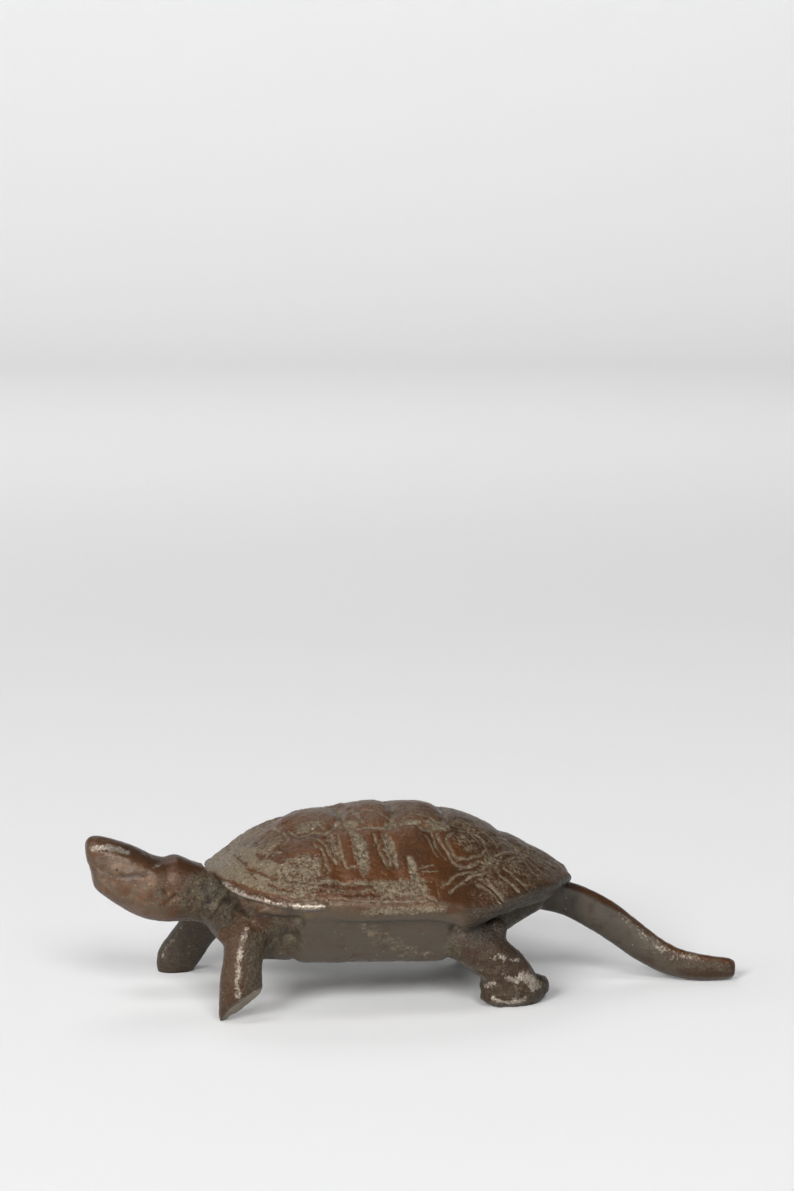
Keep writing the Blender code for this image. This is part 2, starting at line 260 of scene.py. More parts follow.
head = {
    # x, half the width, bottom and top of each upright ring, neck first
    "rings": (
        (-24, 8, 11.6, 22.8),
        (-29, 6.6, 12.6, 24),
        (-33.5, 5.8, 13.8, 24.1),
        (-36.6, 5.4, 14.1, 25.4),
        (-38.2, 5.3, 14, 25.8),
        (-39.6, 5.3, 14, 25.5),
        (-41.6, 5.7, 14.3, 25.8),
        (-44.2, 5.7, 15.1, 27.2),
        (-46.8, 5.2, 16.4, 28.4),
        (-49.2, 4.5, 18, 29.2),
        (-51.2, 3.6, 19.5, 29.7),
        (-52.4, 2.9, 20.7, 29.8),
        (-53, 2.3, 23.6, 29.6),
        (-53.5, 1.9, 25.2, 29.2),
        (-53.8, 1.1, 26.2, 28.6),
    ),
    "brow": ((-52.2, 27.4), (-49.5, 27.2), (-46.4, 26.2)),
    # lines on each cheek as (x, z) points, with their height and half width
    "lines": (
        (((-53.4, 25.2), (-51, 24.3), (-49.7, 23.7), (-47, 23.3), (-43.5, 23.9)), -0.22, 0.4),
        (((-44.6, 18.8), (-43.2, 20.7), (-41.6, 23), (-40.2, 24.6)), 0.2, 0.9),
        (((-39.9, 18.4), (-38.4, 19.7)), -0.3, 0.35),
        (((-40.4, 20.8), (-40, 20.3)), -0.32, 0.4),
    ),
}

legs = {
    # x, y, z, half the width and half the height of each ring
    "nearFront": (
        (-25.6, -12.5, 18, 4, 3.6),
        (-27.6, -16.4, 14.6, 3.8, 3.3),
        (-28.7, -18.4, 10.5, 3.5, 2.7),
        (-29, -18.9, 6.5, 3.8, 2.6),
        (-28.8, -18.6, 2.5, 4.1, 2.6),
        (-28.4, -18.2, -1.5, 4.1, 2.6),
    ),
    # a point on the cut sole and the way it faces
    "nearSole": ((-28.9, -18.6, 3), (0.47, -0.5, -0.73)),
    "farFront": (
        (-26, 10, 17, 4.2, 3.6),
        (-28, 14, 13, 3.9, 3.4),
        (-31, 17.4, 9, 3.7, 2.9),
        (-33.5, 19.4, 5, 3.8, 2.6),
        (-35.3, 20.4, 1.9, 3.7, 2.6),
        (-35.8, 20.6, -1, 2.9, 2.2),
    ),
    "rear": (
        (8.4, 11, 15, 4.6, 4.6),
        (12, 15, 12, 4.5, 4.4),
        (16.2, 16.4, 8.4, 4, 3.6),
        (19.1, 16, 5, 4.4, 3),
        (19.9, 15.2, 1.6, 4.7, 2.8),
        (20, 15, -0.4, 3.8, 2.2),
    ),
}

tailRings = (
    (22, 0, 17.2, 5, 2.6),
    (28, 0, 16.3, 3.6, 2.9),
    (33, -0.3, 15.2, 2.8, 3.1),
    (38, -0.9, 12.9, 2.4, 3.3),
    (43, -1.8, 9.5, 2.3, 3.15),
    (47.5, -2.8, 6.1, 2.2, 2.95),
    (52, -4, 3.5, 2.1, 2.65),
    (57, -5.2, 2.4, 2, 2.4),
    (61, -5.9, 2.2, 1.9, 2.1),
    (63, -6.2, 2.2, 1.7, 1.7),
    (63.5, -6.3, 2.2, 1.2, 1.2),
)

# balls on the legs: place and radii
legBalls = {
    "nub": ((-31.7, -15.8, 14.7), (1.1, 1.3, 1.4)),
    "foot": ((20, 15, 2), (6.6, 4, 2.6)),
    "farFoot": ((21.2, 15, 2), (4.92, 4, 2.6)),
    "heel": ((17.2, 15.7, 3.3), (3.3, 3.3, 3.4)),
    "farHeel": ((18.4, 15.7, 3.3), (3.3, 3.3, 3.4)),
    "toes": ((23.5, 13.9, 2.6), (3.8, 2.7, 2.4)),
    "hip": ((16.6, 15.6, 13.4), (2.2, 2.4, 2.4)),
}
footTurn = {"foot": 18, "farFoot": 18, "toes": 18}  # degrees outwards


def addHindLeg(bm, side, back, balls):
    # back is how much further back than the near foot this one stands
    keys = [(x + back * (15 - z) / 15, side * y, z, *half) for x, y, z, *half in legs["rear"]]
    addLimb(bm, keys, (0, -side, 0.2), roundness=2.2)
    for name in balls:
        (x, y, z), radii = legBalls[name]
        addBall(bm, (x, side * y, z), radii, turn=-side * footTurn.get(name, 0))


def addLegs(bm):
    leg = addLimb(bm, legs["nearFront"], (0, 1, 0.2), roundness=2.2)
    cutSole(bm, leg, *legs["nearSole"])
    addLimb(bm, legs["farFront"], (0, 1, 0.2), roundness=2.2)
    addBall(bm, *legBalls["nub"])
    addHindLeg(bm, -1, 0, ("foot", "heel", "toes", "hip"))
    addHindLeg(bm, 1, 1.2, ("farFoot", "farHeel", "hip"))


def addHead(bm):
    keys = [
        (x, 0.0, (bottom + top) / 2.0, half, (top - bottom) / 2.0)
        for x, half, bottom, top in head["rings"]
    ]
    addLimb(bm, keys, (0, 0, 1), roundness=2.3, facing=(-1, 0, 0), segments=48)


def addObject(name, data):
    made = bpy.data.objects.new(name, data)
    bpy.context.scene.collection.objects.link(made)
    return made


def castRawShape():
    bm = bmesh.new()
    addShell(bm)
    for ends, halves, floors in belly["bridges"]:
        addBridge(bm, ends, halves, floors)
    addLimb(bm, belly["torso"], (0, 0, 1), roundness=3.0, segments=48)
    addHead(bm)
    addLegs(bm)
    addLimb(bm, tailRings, (0, 0, 1), roundness=2.3)
    bmesh.ops.recalc_face_normals(bm, faces=bm.faces)
    mesh = bpy.data.meshes.new("turtleCasting")
    bm.to_mesh(mesh)
    bm.free()
    return addObject("turtleCasting", mesh)


def runTogether(piece):
    skin = piece.modifiers.new("one skin", "REMESH")
    skin.mode = "VOXEL"
    skin.voxel_size = meshing["voxel"]
    soften = piece.modifiers.new("soften", "SMOOTH")
    soften.factor = 0.5
    soften.iterations = meshing["smoothing"]
    settleModifiers(piece)


def settleModifiers(piece):
    graph = bpy.context.evaluated_depsgraph_get()
    settled = bpy.data.meshes.new_from_object(piece.evaluated_get(graph))
    piece.modifiers.clear()
    piece.data = settled


def refineDetail(piece):
    # twice as fine a mesh over the dome and the head
    bm = bmesh.new()
    bm.from_mesh(piece.data)
    chosen = set()
    for face in bm.faces:
        x, y, z = face.calc_center_median()
        outward, cosine = shellPlace(x, y)
        onDome = outward < 1.08 and z > domeHeight(min(outward, 1.0), cosine) - 2.2
        if onDome or x < -36.0:
            chosen.update(face.edges)
    made = bmesh.ops.subdivide_edges(bm, edges=list(chosen), cuts=1, use_grid_fill=True)
    fresh = {vert for part in made["geom"] if isinstance(part, bmesh.types.BMFace) for vert in part.verts}
    for _ in range(meshing["detailSmoothing"]):
        bmesh.ops.smooth_vert(
            bm, verts=list(fresh), factor=0.5, use_axis_x=True, use_axis_y=True, use_axis_z=True
        )
    bm.to_mesh(piece.data)
    bm.free()


# relief
plates = {
    "seamDepth": 0.13,
    "seamWidth": 0.3,
    # (x, distance from the keel) of the ends of the faint seams between the plates
    "keelSeams": ((-18.9, 6.4), (-8.6, 6.2), (2.9, 7), (10.4, 5.4), (21, 4.6)),
    "sideSeams": ((-22.8, 11.4), (-11.9, 11.4), (-2.1, 11.8), (5.9, 10.9), (16.2, 8.8)),
    "edgeRow": (0.9, 0.88, 0.76),  # where the outer row of plates starts: front, side, rear
    "edgeSeams": (12, 29, 50, 63.5, 86, 105, 122, 140, 160),  # degrees
    "rearTeeth": (-14, 12, 29, 50, 63.5, 86),  # degrees where each tooth at the rear starts
    "paleWidth": 0.95,
    "lineWobble": 0.32,
    "grainHeight": 0.272,
    "knobs": ((-18, 0.8), (-13.8, 0.6), (-3, 0.6), (6.6, 0.4), (15.2, 0.2), (24, 0.15), (30.2, 0.6)),
    "keelDips": ((-8.6, 0.4), (0.9, 0.35), (10.6, 0.45), (20.8, 0.08)),
    # the broad hollows between the plates, with their depth and half width
    "hollow": (0.32, 1.3),
    "hollows": (
        ((-19.6, 0), (-19.3, 6), (-16.2, 9.4), (-12.6, 10), (-9.4, 6.1), (-8.6, 0)),
        ((-9.4, 6.1), (-8, 9.6), (-1.8, 10.4), (0.4, 5.4), (0.8, 0)),
        ((-1.8, 10.4), (3.4, 9), (6.2, 10.6), (9.3, 7.1), (10.2, 0)),
        ((9.3, 7.1), (14, 8.6), (17, 12), (22.6, 7.8), (20.6, 0)),
        ((-12.4, 10.2), (-12, 14), (-11.4, 20)),
        ((-2.6, 10.6), (-2.4, 15), (-2.2, 20)),
        ((6.4, 10.8), (6.6, 14), (8.4, 17.4), (14.6, 16.4), (17.4, 13)),
    ),
    "tooth": 0.9,
}

# the growth lines as they run on the casting, the same on both sides of the keel:
# depth, half the width and (x, distance from the keel) along each
growthLines = (
    # first side plate
    (0.3, 0.3, ((-18.5, 5.9), (-17.6, 8.9), (-16.2, 9.6), (-14.4, 9.2), (-12.6, 10.2))),
    (0.3, 0.28, (
        (-16.8, 10.5), (-15.2, 10.9), (-14, 12.1), (-13.4, 13.4), (-13, 15.2), (-12.5, 16.4), (-12.1, 17.3),
    )),
    (0.3, 0.28, ((-15.2, 12.7), (-14.2, 14.3), (-13.9, 15.6), (-13.8, 16.9), (-13.4, 18.5))),
    (0.22, 0.3, ((-23.8, 4.7), (-22.5, 3.9), (-21.1, 3))),
    (0.26, 0.3, ((-22.9, 10), (-21.3, 9.1), (-20.1, 10.5))),
    (0.26, 0.3, ((-23.9, 11.9), (-22.5, 11.2), (-21, 12.3))),
    (0.22, 0.25, ((-19.6, 4), (-19.3, 6.5), (-19.1, 9.4), (-19.9, 10.2))),
    (0.3, 0.32, (
        (-22.1, 17.1), (-20.3, 18.2), (-19.1, 19.1), (-17.6, 19.6), (-15.8, 20.3), (-13.6, 20.1),
        (-11.2, 20.9), (-8.5, 20.9), (-5.1, 21.3),
    )),
    (0.2, 0.25, ((-20.9, 14.1), (-19.7, 14.6), (-18.4, 15.3), (-17.2, 16), (-15.8, 16.5))),
    # second side plate
    (0.28, 0.28, ((-11.8, 10.8), (-11.9, 13.4), (-11.6, 14.6), (-11.4, 16.5))),
    (0.32, 0.3, ((-10.7, 11.1), (-10.8, 14.1), (-10.8, 16.1), (-10.6, 17.8), (-10.2, 18.4), (-9, 18.4))),
    (0.26, 0.7, ((-8, 11.3), (-7.7, 13.2), (-7.5, 15.3), (-7.3, 17.2), (-7.3, 19))),
    (0.3, 0.28, ((-4.5, 12.3), (-4.3, 14.2), (-4.2, 16.3), (-3.7, 17.4), (-3.2, 18.9))),
    (0.3, 0.28, ((-3.2, 12.1), (-2.8, 14.1), (-2.7, 16.3), (-2.6, 18.4))),
    # third side plate
    (0.3, 0.28, ((-2.3, 12), (-2, 14.2), (-1.8, 16.1), (-1.8, 17.8))),
    (0.3, 0.28, ((-1.5, 12.7), (-1.4, 14.7), (-1.4, 16.8), (-1.6, 18.9))),
    (0.25, 0.5, ((-2, 10.6), (-0.3, 10), (1.5, 9.3), (3.4, 8.9), (4.7, 11), (5.8, 11))),
    (0.3, 0.55, ((0.8, 17.2), (1, 19), (1.2, 19.6), (1.5, 21))),
    (0.14, 0.2, ((2.4, 19.1), (3.8, 18.9), (5, 18.4))),
    (0.14, 0.2, ((2.5, 19.6), (4.1, 19.6), (5.4, 19.3))),
    # fourth side plate
    (0.28, 0.26, ((4.8, 12.6), (5.3, 14.5), (5.5, 15.8), (6.1, 16.7))),
    (0.3, 0.28, ((6.2, 11), (6.2, 12.5), (6.3, 14.9), (6.7, 16.1), (7.5, 16.6))),
    (0.3, 0.28, (
        (7, 11.4), (7.3, 13.2), (7.8, 14.6), (8.2, 15.7), (8.7, 16.7), (9.6, 17), (11.2, 16.7),
        (12.8, 16.2),
    )),
    (0.3, 0.3, (
        (9.8, 10.7), (8.6, 12.2), (8.6, 13.8), (8.9, 15.1), (9.6, 16), (11.7, 15.5), (14.1, 14.5),
        (15.5, 12.7), (16, 10.7), (15.2, 9.5), (13.5, 9), (11.5, 9.7),
    )),
    (0.26, 0.26, ((9.8, 17.6), (11.8, 16.8), (13.8, 15.6), (15.2, 15.6))),
    # plates along the keel
    (0.38, 0.5, ((-12.6, 10.2), (-11.2, 9.2), (-9.4, 6.1), (-8.4, 3.6), (-8.4, 1.5), (-8.6, 0))),
    (0.2, 0.35, ((-17.2, 5.5), (-15.8, 4.7), (-14.9, 6.6), (-13.7, 6.4), (-12.8, 9))),
    (0.25, 0.4, ((-10, 9.4), (-8, 10.5), (-5.6, 10), (-3.4, 10.3), (-1.6, 10.6))),
    (0.28, 0.35, ((-6.8, 1.6), (-6.3, 6), (-5.9, 8.3))),
    (0.38, 0.5, ((-1.6, 10.6), (-0.4, 8), (0.6, 5.2), (0.8, 0.6), (0.8, 0))),
    (0.28, 0.3, ((13.9, 16.8), (15.7, 15), (17.2, 13.1), (19.6, 10.9), (22.3, 8.6))),
    (0.2, 0.26, ((10.4, 8), (12.2, 8.7), (13.9, 10.1), (15.3, 11.9), (16.1, 13.5))),
    (0.2, 0.26, ((12.5, 5.1), (14.7, 6.7), (16.8, 7.7), (18.2, 10.3))),
    (0.16, 0.26, ((15, 5.3), (17.6, 6.5), (19.9, 7.7), (22.1, 7.8))),
    (0.38, 0.45, ((5.9, 10.6), (7.7, 8.8), (9.3, 7.1), (10, 5.6), (10.2, 2.1), (10.2, 0))),
    (0.18, 0.28, ((0.5, 8.9), (3.2, 6.2), (5.6, 6.7), (7.5, 8.1))),
    (0.18, 0.28, ((-7.2, 5.7), (-4.7, 3.8), (-2.4, 5.3), (-1.1, 7.6))),
    (0.18, 0.3, ((-19.6, 4), (-20.4, 2), (-20.2, 0))),
    (0.28, 0.35, ((20.4, 0), (20.9, 3.6), (22.6, 7.8))),
    # rear edge
    (0.28, 0.26, ((5.6, 21.6), (7.3, 20.4), (9.2, 18.7), (10.8, 18.1), (12.3, 17.5), (14.3, 16.7))),
    (0.3, 0.28, ((7.1, 22), (8.6, 20.6), (10.2, 19.3), (11.8, 18.2), (13.4, 17.6), (15.4, 16.8))),
    (0.32, 0.35, ((13.2, 18.4), (14.5, 18.9), (15.6, 19.5), (16.4, 20.3), (17, 20.8))),
    (0.22, 0.25, ((12.3, 19.4), (13.7, 19.6), (14.9, 20.3), (15.7, 21.1))),
    (0.3, 0.28, (
        (18.8, 14.2), (19.9, 12.5), (21.4, 11), (22.6, 10.2), (24.1, 9.3), (25.2, 10.8), (26.8, 11),
    )),
    (0.26, 0.25, ((20.2, 12.9), (21.5, 11.9), (22.8, 10.9), (23.7, 12.5), (24.8, 13.4))),
    (0.3, 0.28, ((17.8, 13.9), (16.7, 15.4), (16.4, 15.9), (17.2, 17.3), (18.6, 17.7), (19.8, 18.6))),
    (0.26, 0.25, ((18.2, 15.2), (19.3, 15.9), (20.6, 16.5), (21.9, 16.6))),
    (0.4, 0.4, ((21.1, 16.7), (21.5, 17.5), (21.6, 17.7))),
    # fan at the rear
    (0.26, 0.25, ((23, 7.8), (25.1, 7.5), (27.6, 7.1), (29.3, 7.1))),
    (0.26, 0.25, ((24.3, 4.9), (26.4, 4.5), (29.2, 2.8), (31.7, 1.8))),
    (0.26, 0.25, ((25.4, 3), (28.2, 1.9), (31, 0.9))),
    (0.24, 0.25, ((23.6, 6.4), (26.5, 5.6), (30.2, 4.4))),
    # row along the side
    (0.2, 0.22, ((-19.2, 22), (-14.1, 22.5), (-9, 23.3), (-2, 23.7), (3.2, 23.7))),
    (0.2, 0.25, ((-6.5, 21.1), (-5.8, 22.4))),
    (0.22, 0.28, ((0, 22.3), (0.8, 23.3), (1.6, 23.8))),
    (0.2, 0.28, ((1.5, 22.7), (2.8, 23.2), (4.3, 23.7))),
)

# streaks worn smooth and brown through the pale patches: half width and points
wornStreaks = (
    (0.5, ((-15.9, 21.2), (-13.8, 20.7), (-11.7, 21.2), (-9.4, 21.6), (-6.5, 21.3))),
    (0.5, ((-15.4, 22.1), (-13.2, 22.4), (-10.6, 22.4), (-8, 22.5), (-5.7, 22.7))),
    (0.3, ((-27.8, 3.4), (-27.3, 8.5), (-26.7, 12.1), (-26.4, 14.2), (-25.9, 15.8))),
    (0.35, ((-24.6, 9.5), (-24.2, 11.5), (-23.2, 11.7), (-21.8, 10.8), (-20.1, 11.7))),
    (0.3, ((-26.2, 13.2), (-24.8, 15.3), (-22.8, 17.5))),
    (0.35, ((-23.8, 18.1), (-22.3, 19.5), (-20.5, 20.2))),
    (0.3, (
        (-30.1, 13.2), (-28.5, 15.9), (-25.1, 19.5), (-20.9, 21.4), (-16, 22.7), (-5.6, 23.4), (3.9, 23.5),
    )),
)

# pale grainy patches: centre (x, distance from the keel), half sizes, strength, grain
palePatches = (
    ((-18.4, 17.2), (5, 3), 0.72, 1),
    ((-7.4, 15.6), (1.5, 4.6), 0.85, 1),
    ((1.2, 19.2), (0.9, 2), 0.9, 0.8),
    ((-8, 8.4), (1.7, 1.5), 0.9, 0.5),
    ((-0.6, 9.6), (1.8, 1.2), 0.95, 0.6),
    ((3.2, 8.8), (1.7, 0.9), 0.95, 0.6),
    ((7.6, 9), (2.6, 2), 0.75, 0.6),
    ((-15, 6.6), (3, 2.2), 0.72, 0.45),
    ((-21.5, 8.5), (3, 3.5), 0.6, 0.5),
    ((16.2, 14.6), (2.2, 2.8), 0.5, 0.5),
    ((19.4, 14.2), (2.4, 3), 0.44, 0.4),
    ((14, 7.6), (5, 3.4), 0.45, 0.3),
    ((12.4, 12.4), (3, 2.6), 0.4, 0.3),
    ((-11.8, 14), (1.6, 4.4), 0.5, 0.6),
    ((-2.6, 15), (1.4, 4), 0.47, 0.5),
    ((24, 7), (4.5, 2.6), 0.46, 0.4),
)

# how pale the dome is elsewhere, from dust, and on faces turned upwards
dust = {"front": 0.84, "sideRow": 0.66, "rear": 0.36, "upFacing": 0.36, "alongKeel": 0.6}

farAway = 6.0  # a gap that no line or hole reaches


def onShell(path):
    # the (x, distance from the keel) points of a line, lifted onto the dome
    x, side = np.array(path, float).T
    outward, cosine = shellPlace(x, side)
    return np.stack([x, side, domeHeight(np.minimum(outward, 1), cosine)], axis=1)


def plateSeams(x, side, outward, cosine):
    length = np.where(x < shell["widestX"], shell["frontLength"], shell["rearLength"])
    spread = np.hypot(x - shell["widestX"], side) / np.maximum(outward, 0.05)
    edgeGap = (outward - blendAround(cosine, *plates["edgeRow"])) * spread
    zigzag = sorted(plates["keelSeams"] + plates["sideSeams"])
    inner = pathDistance(np.stack([x, side], axis=1), zigzag)
    angle = np.degrees(np.arctan2(side / shell["halfWidth"], (x - shell["widestX"]) / length))
    turn = np.min([np.abs(angle - seam) for seam in plates["edgeSeams"]], axis=0)
    turn = np.where(edgeGap > 0, np.radians(turn) * spread, 9)
    return np.minimum.reduce([inner, np.abs(edgeGap), turn]), angle


def rearTeeth(angle, outward):
    seams, share = plates["rearTeeth"], np.zeros_like(angle)
    for low, high in zip(seams, seams[1:]):
        inside = (angle >= low) & (angle < high)
        share = np.where(inside, (high - angle) / (high - low), share)
    share = share * fallOff(60, 84, angle)
    return plates["tooth"] * share * smoothStep(0.9, 1, outward)


def spread2d(x, y, centre, radii):
    away = np.hypot((x - centre[0]) / radii[0], (y - centre[1]) / radii[1])
    return fallOff(0.5, 1.35, away)


def growthRelief(folded):
    # depth of the lines and hollows, wear of the streaks and gap to the nearest line
    shove = np.stack([noiseAt(folded, 1.3, seed=seed) for seed in (3, 7, 11)], axis=1)
    folded = folded + shove * plates["lineWobble"]
    strength = np.clip(0.85 + 1.1 * noiseAt(folded, 1.8, seed=9), 0.35, 1.2)
    cut, gap = np.zeros(len(folded)), np.full(len(folded), farAway)
    for depth, width, path in growthLines:
        away = pathDistance(folded, onShell(path))
        cut = np.maximum(cut, depth * bell(away, width))
        gap = np.minimum(gap, away / (width * plates["paleWidth"]))
    worn = np.max([alongPath(folded, onShell(path), width) for width, path in wornStreaks], axis=0)
    hollow = np.min([pathDistance(folded, onShell(path)) for path in plates["hollows"]], axis=0)
    depth, width = plates["hollow"]
    return cut * strength + depth * bell(hollow, width), worn, gap


def dustOnDome(points, outward):
    # how pale and how grainy the plates are
    x, y, z = points.T
    side = np.abs(y)
    pale, grainy = np.zeros((2, len(points)))
    for centre, radii, paleness, graininess in palePatches:
        share = spread2d(x, side, centre, radii)
        pale = np.maximum(pale, paleness * share)
        grainy = np.maximum(grainy, graininess * share)
    drift = noiseAt(points, 4.5, 2, seed=71)
    front = fallOff(-26.5, -20.5, x + drift * 5 - 0.12 * side)
    sideRow = smoothStep(0.84, 0.89, outward + drift * 0.03) * smoothStep(-27, -22, x)
    sideRow *= fallOff(3.6, 5.6, x + drift * 3)
    streaks = noiseAt(points * (0.45, 1.6, 1), 1.5, 2, seed=13)
    pale = np.maximum.reduce([
        pale, front * dust["front"], sideRow * dust["sideRow"], dust["rear"] * smoothStep(8, 15, x),
        bell(y, 6) * np.clip(streaks * 2, 0, dust["alongKeel"]),
    ])
    return pale, np.maximum.reduce([grainy, 0.8 * sideRow, 0.34 * front])


def domeRelief(points, normals, masks):
    x, y, z = points.T
    side = np.abs(y)
    outward, cosine = shellPlace(x, y)
    low = edgeHeight(cosine) - 0.4
    onDome = (outward < 1.03) & (z > domeHeight(np.minimum(outward, 1), cosine) - 1.4)
    weight = onDome * smoothStep(low, low + 1.2, z)
    near = np.flatnonzero(onDome)
    lines, wear = np.zeros((2, len(points)))
    gap = np.full(len(points), farAway)
    lines[near], wear[near], gap[near] = growthRelief(np.stack([x, side, z], axis=1)[near])
    seamGap, angle = plateSeams(x, side, outward, cosine)
    seam = bell(seamGap, plates["seamWidth"]) * (0.3 + 0.7 * smoothStep(-27, -20.5, x))
    grain = noiseAt(points, 0.62, 2, seed=5)
    pale, grainy = dustOnDome(points, outward)
    knob = sum(size * bell(x - at, 3.2) * bell(y, 4.5) for at, size in plates["knobs"])
    knob -= sum(size * bell(x - at, 1.1) * bell(y, 5) for at, size in plates["keelDips"])
    rise = knob - plates["seamDepth"] * seam - lines - 0.12 * wear
    rise += (plates["grainHeight"] * grainy + 0.05) * grain
    # faces turned upwards are paler
    pale = np.maximum(pale, dust["upFacing"] * smoothStep(0.74, 1, normals[:, 2]))
    masks["dome"], masks["lineGap"] = weight, gap
    masks["groove"] = 0.3 * seam * weight
    masks["olive"] = np.clip(pale - wear * 0.75, 0, 1) * weight
    masks["rough"] = np.clip(np.maximum(grainy, bell(gap, 1.5)), 0, 1) * weight
    away = np.stack([x - shell["widestX"], y, np.zeros_like(x)], axis=1)
    away /= np.maximum(np.linalg.norm(away, axis=1), 1e-6)[:, None]
    teeth = rearTeeth(angle, outward) * onDome
    # the far front corner of the shell droops
    droop = 1.6 * bell(y - 9, 9) * window(x, -33.4, -32.4, -31, -22) * smoothStep(20, 22, z)
    return normals * (rise * weight)[:, None] + away * teeth[:, None] - droop[:, None] * (0, 0, 1)


def headRelief(points, normals):
    x, profile = points[:, 0], points[:, ::2]  # the profile is (x, z)
    onHead = fallOff(-36.5, -35, x)
    sideways = smoothStep(0.2, 0.6, np.abs(normals[:, 1])) * onHead
    rise = sideways * sum(height * alongPath(profile, line, width) for line, height, width in head["lines"])
    rise += 0.28 * alongPath(profile, head["brow"], 0.8) * onHead
    folds = bell(x + 38.2, 0.9) * 0.1 - bell(x + 40, 0.7) * 0.08
    rise += folds * onHead * smoothStep(0.1, 0.5, normals[:, 2])
    return normals * rise[:, None]


def castingUnevenness(points, normals):
    slow = noiseAt(points, 5, seed=21) * 0.16
    fine = noiseAt(points, 1.1, 2, seed=31) * 0.05
    return normals * (slow + fine)[:, None]


# places on the body: centre and half sizes, drawn on both sides
crustPlaces = (
    ((-32.4, 6.6, 18.6), (4.6, 4.6, 5.6)),
    ((-27.4, 14, 16), (4.4, 4.8, 4.4)),
    ((-29.6, 14.2, 16.8), (3.4, 4.2, 3.2)),
    ((-22, 17, 14), (4.2, 5, 4.6)),
    ((12.4, 19.5, 16.6), (4.6, 3.5, 2.4)),
    ((18, 17.5, 16.6), (6, 4.5, 2.4)),
    ((9.2, 16.5, 10.5), (1.6, 3, 3)),
)

# lines on the body as (x, y, z) points
wallPatch = (
    (-7.5, 19.8, 15.5), (-4.6, 18.8, 13.7), (-1.8, 17.8, 12.1), (1.1, 16.8, 10.5), (4.4, 16.3, 9.5),
)
ankle = ((12.9, 18.3, 6.9), (14.8, 19.7, 7.7), (17.4, 19.8, 7.9), (20.4, 18.7, 7.4))
pocketArc = (
    (8.3, 17.5, 11), (8.8, 18.1, 13.5), (9.4, 21.4, 15.8), (11.6, 21.9, 16.9), (14.4, 21.1, 17.5),
)
tailRidge = (
    (32.9, -2.3, 17.5), (37.1, -2.5, 15.3), (41.2, -2.8, 13), (43.7, -2.9, 11.7), (48, -4.3, 8),
    (54, -5.6, 5.2), (62, -7.2, 4),
)

# edges rubbed bright and painted brighter as highlights: half width, strength and (x, y, z) points
rubbedEdgesAndHighlights = {
    "nearShin": (0.75, 0.85, (
        (-27.9, -19, 16.4), (-29, -20.3, 13.9), (-29.7, -20.9, 11.1), (-29.9, -21.2, 8),
        (-30, -21.3, 5),
    )),
    "jawTop": (0.5, 0.75, ((-42.8, -4, 24.3), (-41.2, -3.6, 24.9))),
    "forehead": (0.85, 1.2, (
        (-52.4, -2.4, 28), (-50.4, -2.6, 28.2), (-48.3, -2.9, 27.8), (-46.9, -3, 27.2),
    )),
    "tailSide": (1.1, 0.68, (
        (43, -3.2, 11.9), (45.3, -3.7, 9.9), (47.5, -4.4, 7.8), (49.7, -4.9, 6.3), (52.3, -5.4, 5),
        (56.9, -6.1, 4.3),
    )),
    "farShin": (0.6, 0.55, ((-34.8, 16, 9.5), (-36, 17.1, 7.4), (-37, 18, 5.2), (-37.8, 18.8, 3.2))),
}

# glints on the outer side of the hind feet: half width, strength and (x, z) points
footGlints = (
    (1.05, 1.15, ((20.5, 5.9), (22, 5.25), (23.4, 4), (23.9, 3.5))),
    (0.6, 1.05, ((21.4, 4.8), (22.6, 3.6), (23.2, 2.9))),
    (0.6, 1.1, ((17.7, 5.8), (18.7, 5.3), (19.8, 4.9))),
    (0.6, 1, ((14.6, 3.9), (15, 4.4), (15.7, 4.8))),
    (0.55, 1.15, ((15.6, 1.9), (16.8, 1.4), (18.2, 1.2), (19.8, 1.4), (21.3, 1.6))),
    (0.6, 0.95, ((15.7, 9.6), (16.8, 9.8), (17.3, 9.2))),
    (0.4, 0.9, ((18.7, 8.9), (20.2, 8.7))),
)

# painted shade in the lines and hollows that stay dark, drawn on both sides
sootLines = (
    (1.1, 1, ((-30.5, 6.2, 20), (-29.3, 13.7, 19.5), (-27.2, 17.4, 19), (-24.9, 19.3, 18.6))),
    (0.8, 0.8, ((-24.9, 19.3, 18.4), (-21.3, 19, 17.5), (-18.9, 19.7, 17.4))),
    (1.3, 0.75, ((-33.4, 5.6, 20.6), (-31.7, 6.4, 19), (-29.8, 9.2, 18.4))),
    (1.4, 0.8, ((11.4, 18.8, 14.1), (13.2, 18.7, 14.3), (15.5, 17.7, 14.3), (17.2, 16.9, 15.2))),
    (0.45, 0.7, ((-52.8, 2, 24.6), (-49.6, 4.2, 23.4), (-46.9, 5, 23.3), (-43, 5.5, 24))),
    (1.1, 0.6, ((-46.6, 2.2, 28), (-44.5, 2.3, 26.9), (-42.3, 2.2, 25.8), (-41.1, 3.3, 24.9))),
    (0.42, 1, ((-48.8, 4.3, 24.5), (-48.6, 4.4, 24.5))),
)

# the bead along the front of the rim, the face under it painted lighter as if lit, the trough inside it and
# the line along the side
rimBead = (
    (-32, 8, 23.2), (-31.5, 11, 23), (-30.3, 13.2, 22.7), (-28.7, 15.9, 22.1), (-26.9, 17.9, 21.6),
    (-25, 19.5, 21.3), (-23.1, 20.6, 20.8), (-20.8, 21.6, 20.4), (-18.7, 22.3, 20.3), (-15, 23, 20.6),
)
lipUnder = (
    (-31.4, 8, 21.6), (-30.6, 11, 21.4), (-29.7, 13.4, 21), (-27.9, 16.6, 20.4), (-25.4, 19, 19.8),
    (-22, 20.8, 19.2),
)
rimTrough = (
    (-31.2, 10.6, 24), (-30.1, 13.2, 23.5), (-28.5, 15.7, 23.1), (-26.9, 17.7, 22.6), (-25.1, 19.3, 22.2),
    (-23.1, 20.3, 21.7), (-20.9, 21.2, 21.3), (-18.7, 22, 21.2),
)
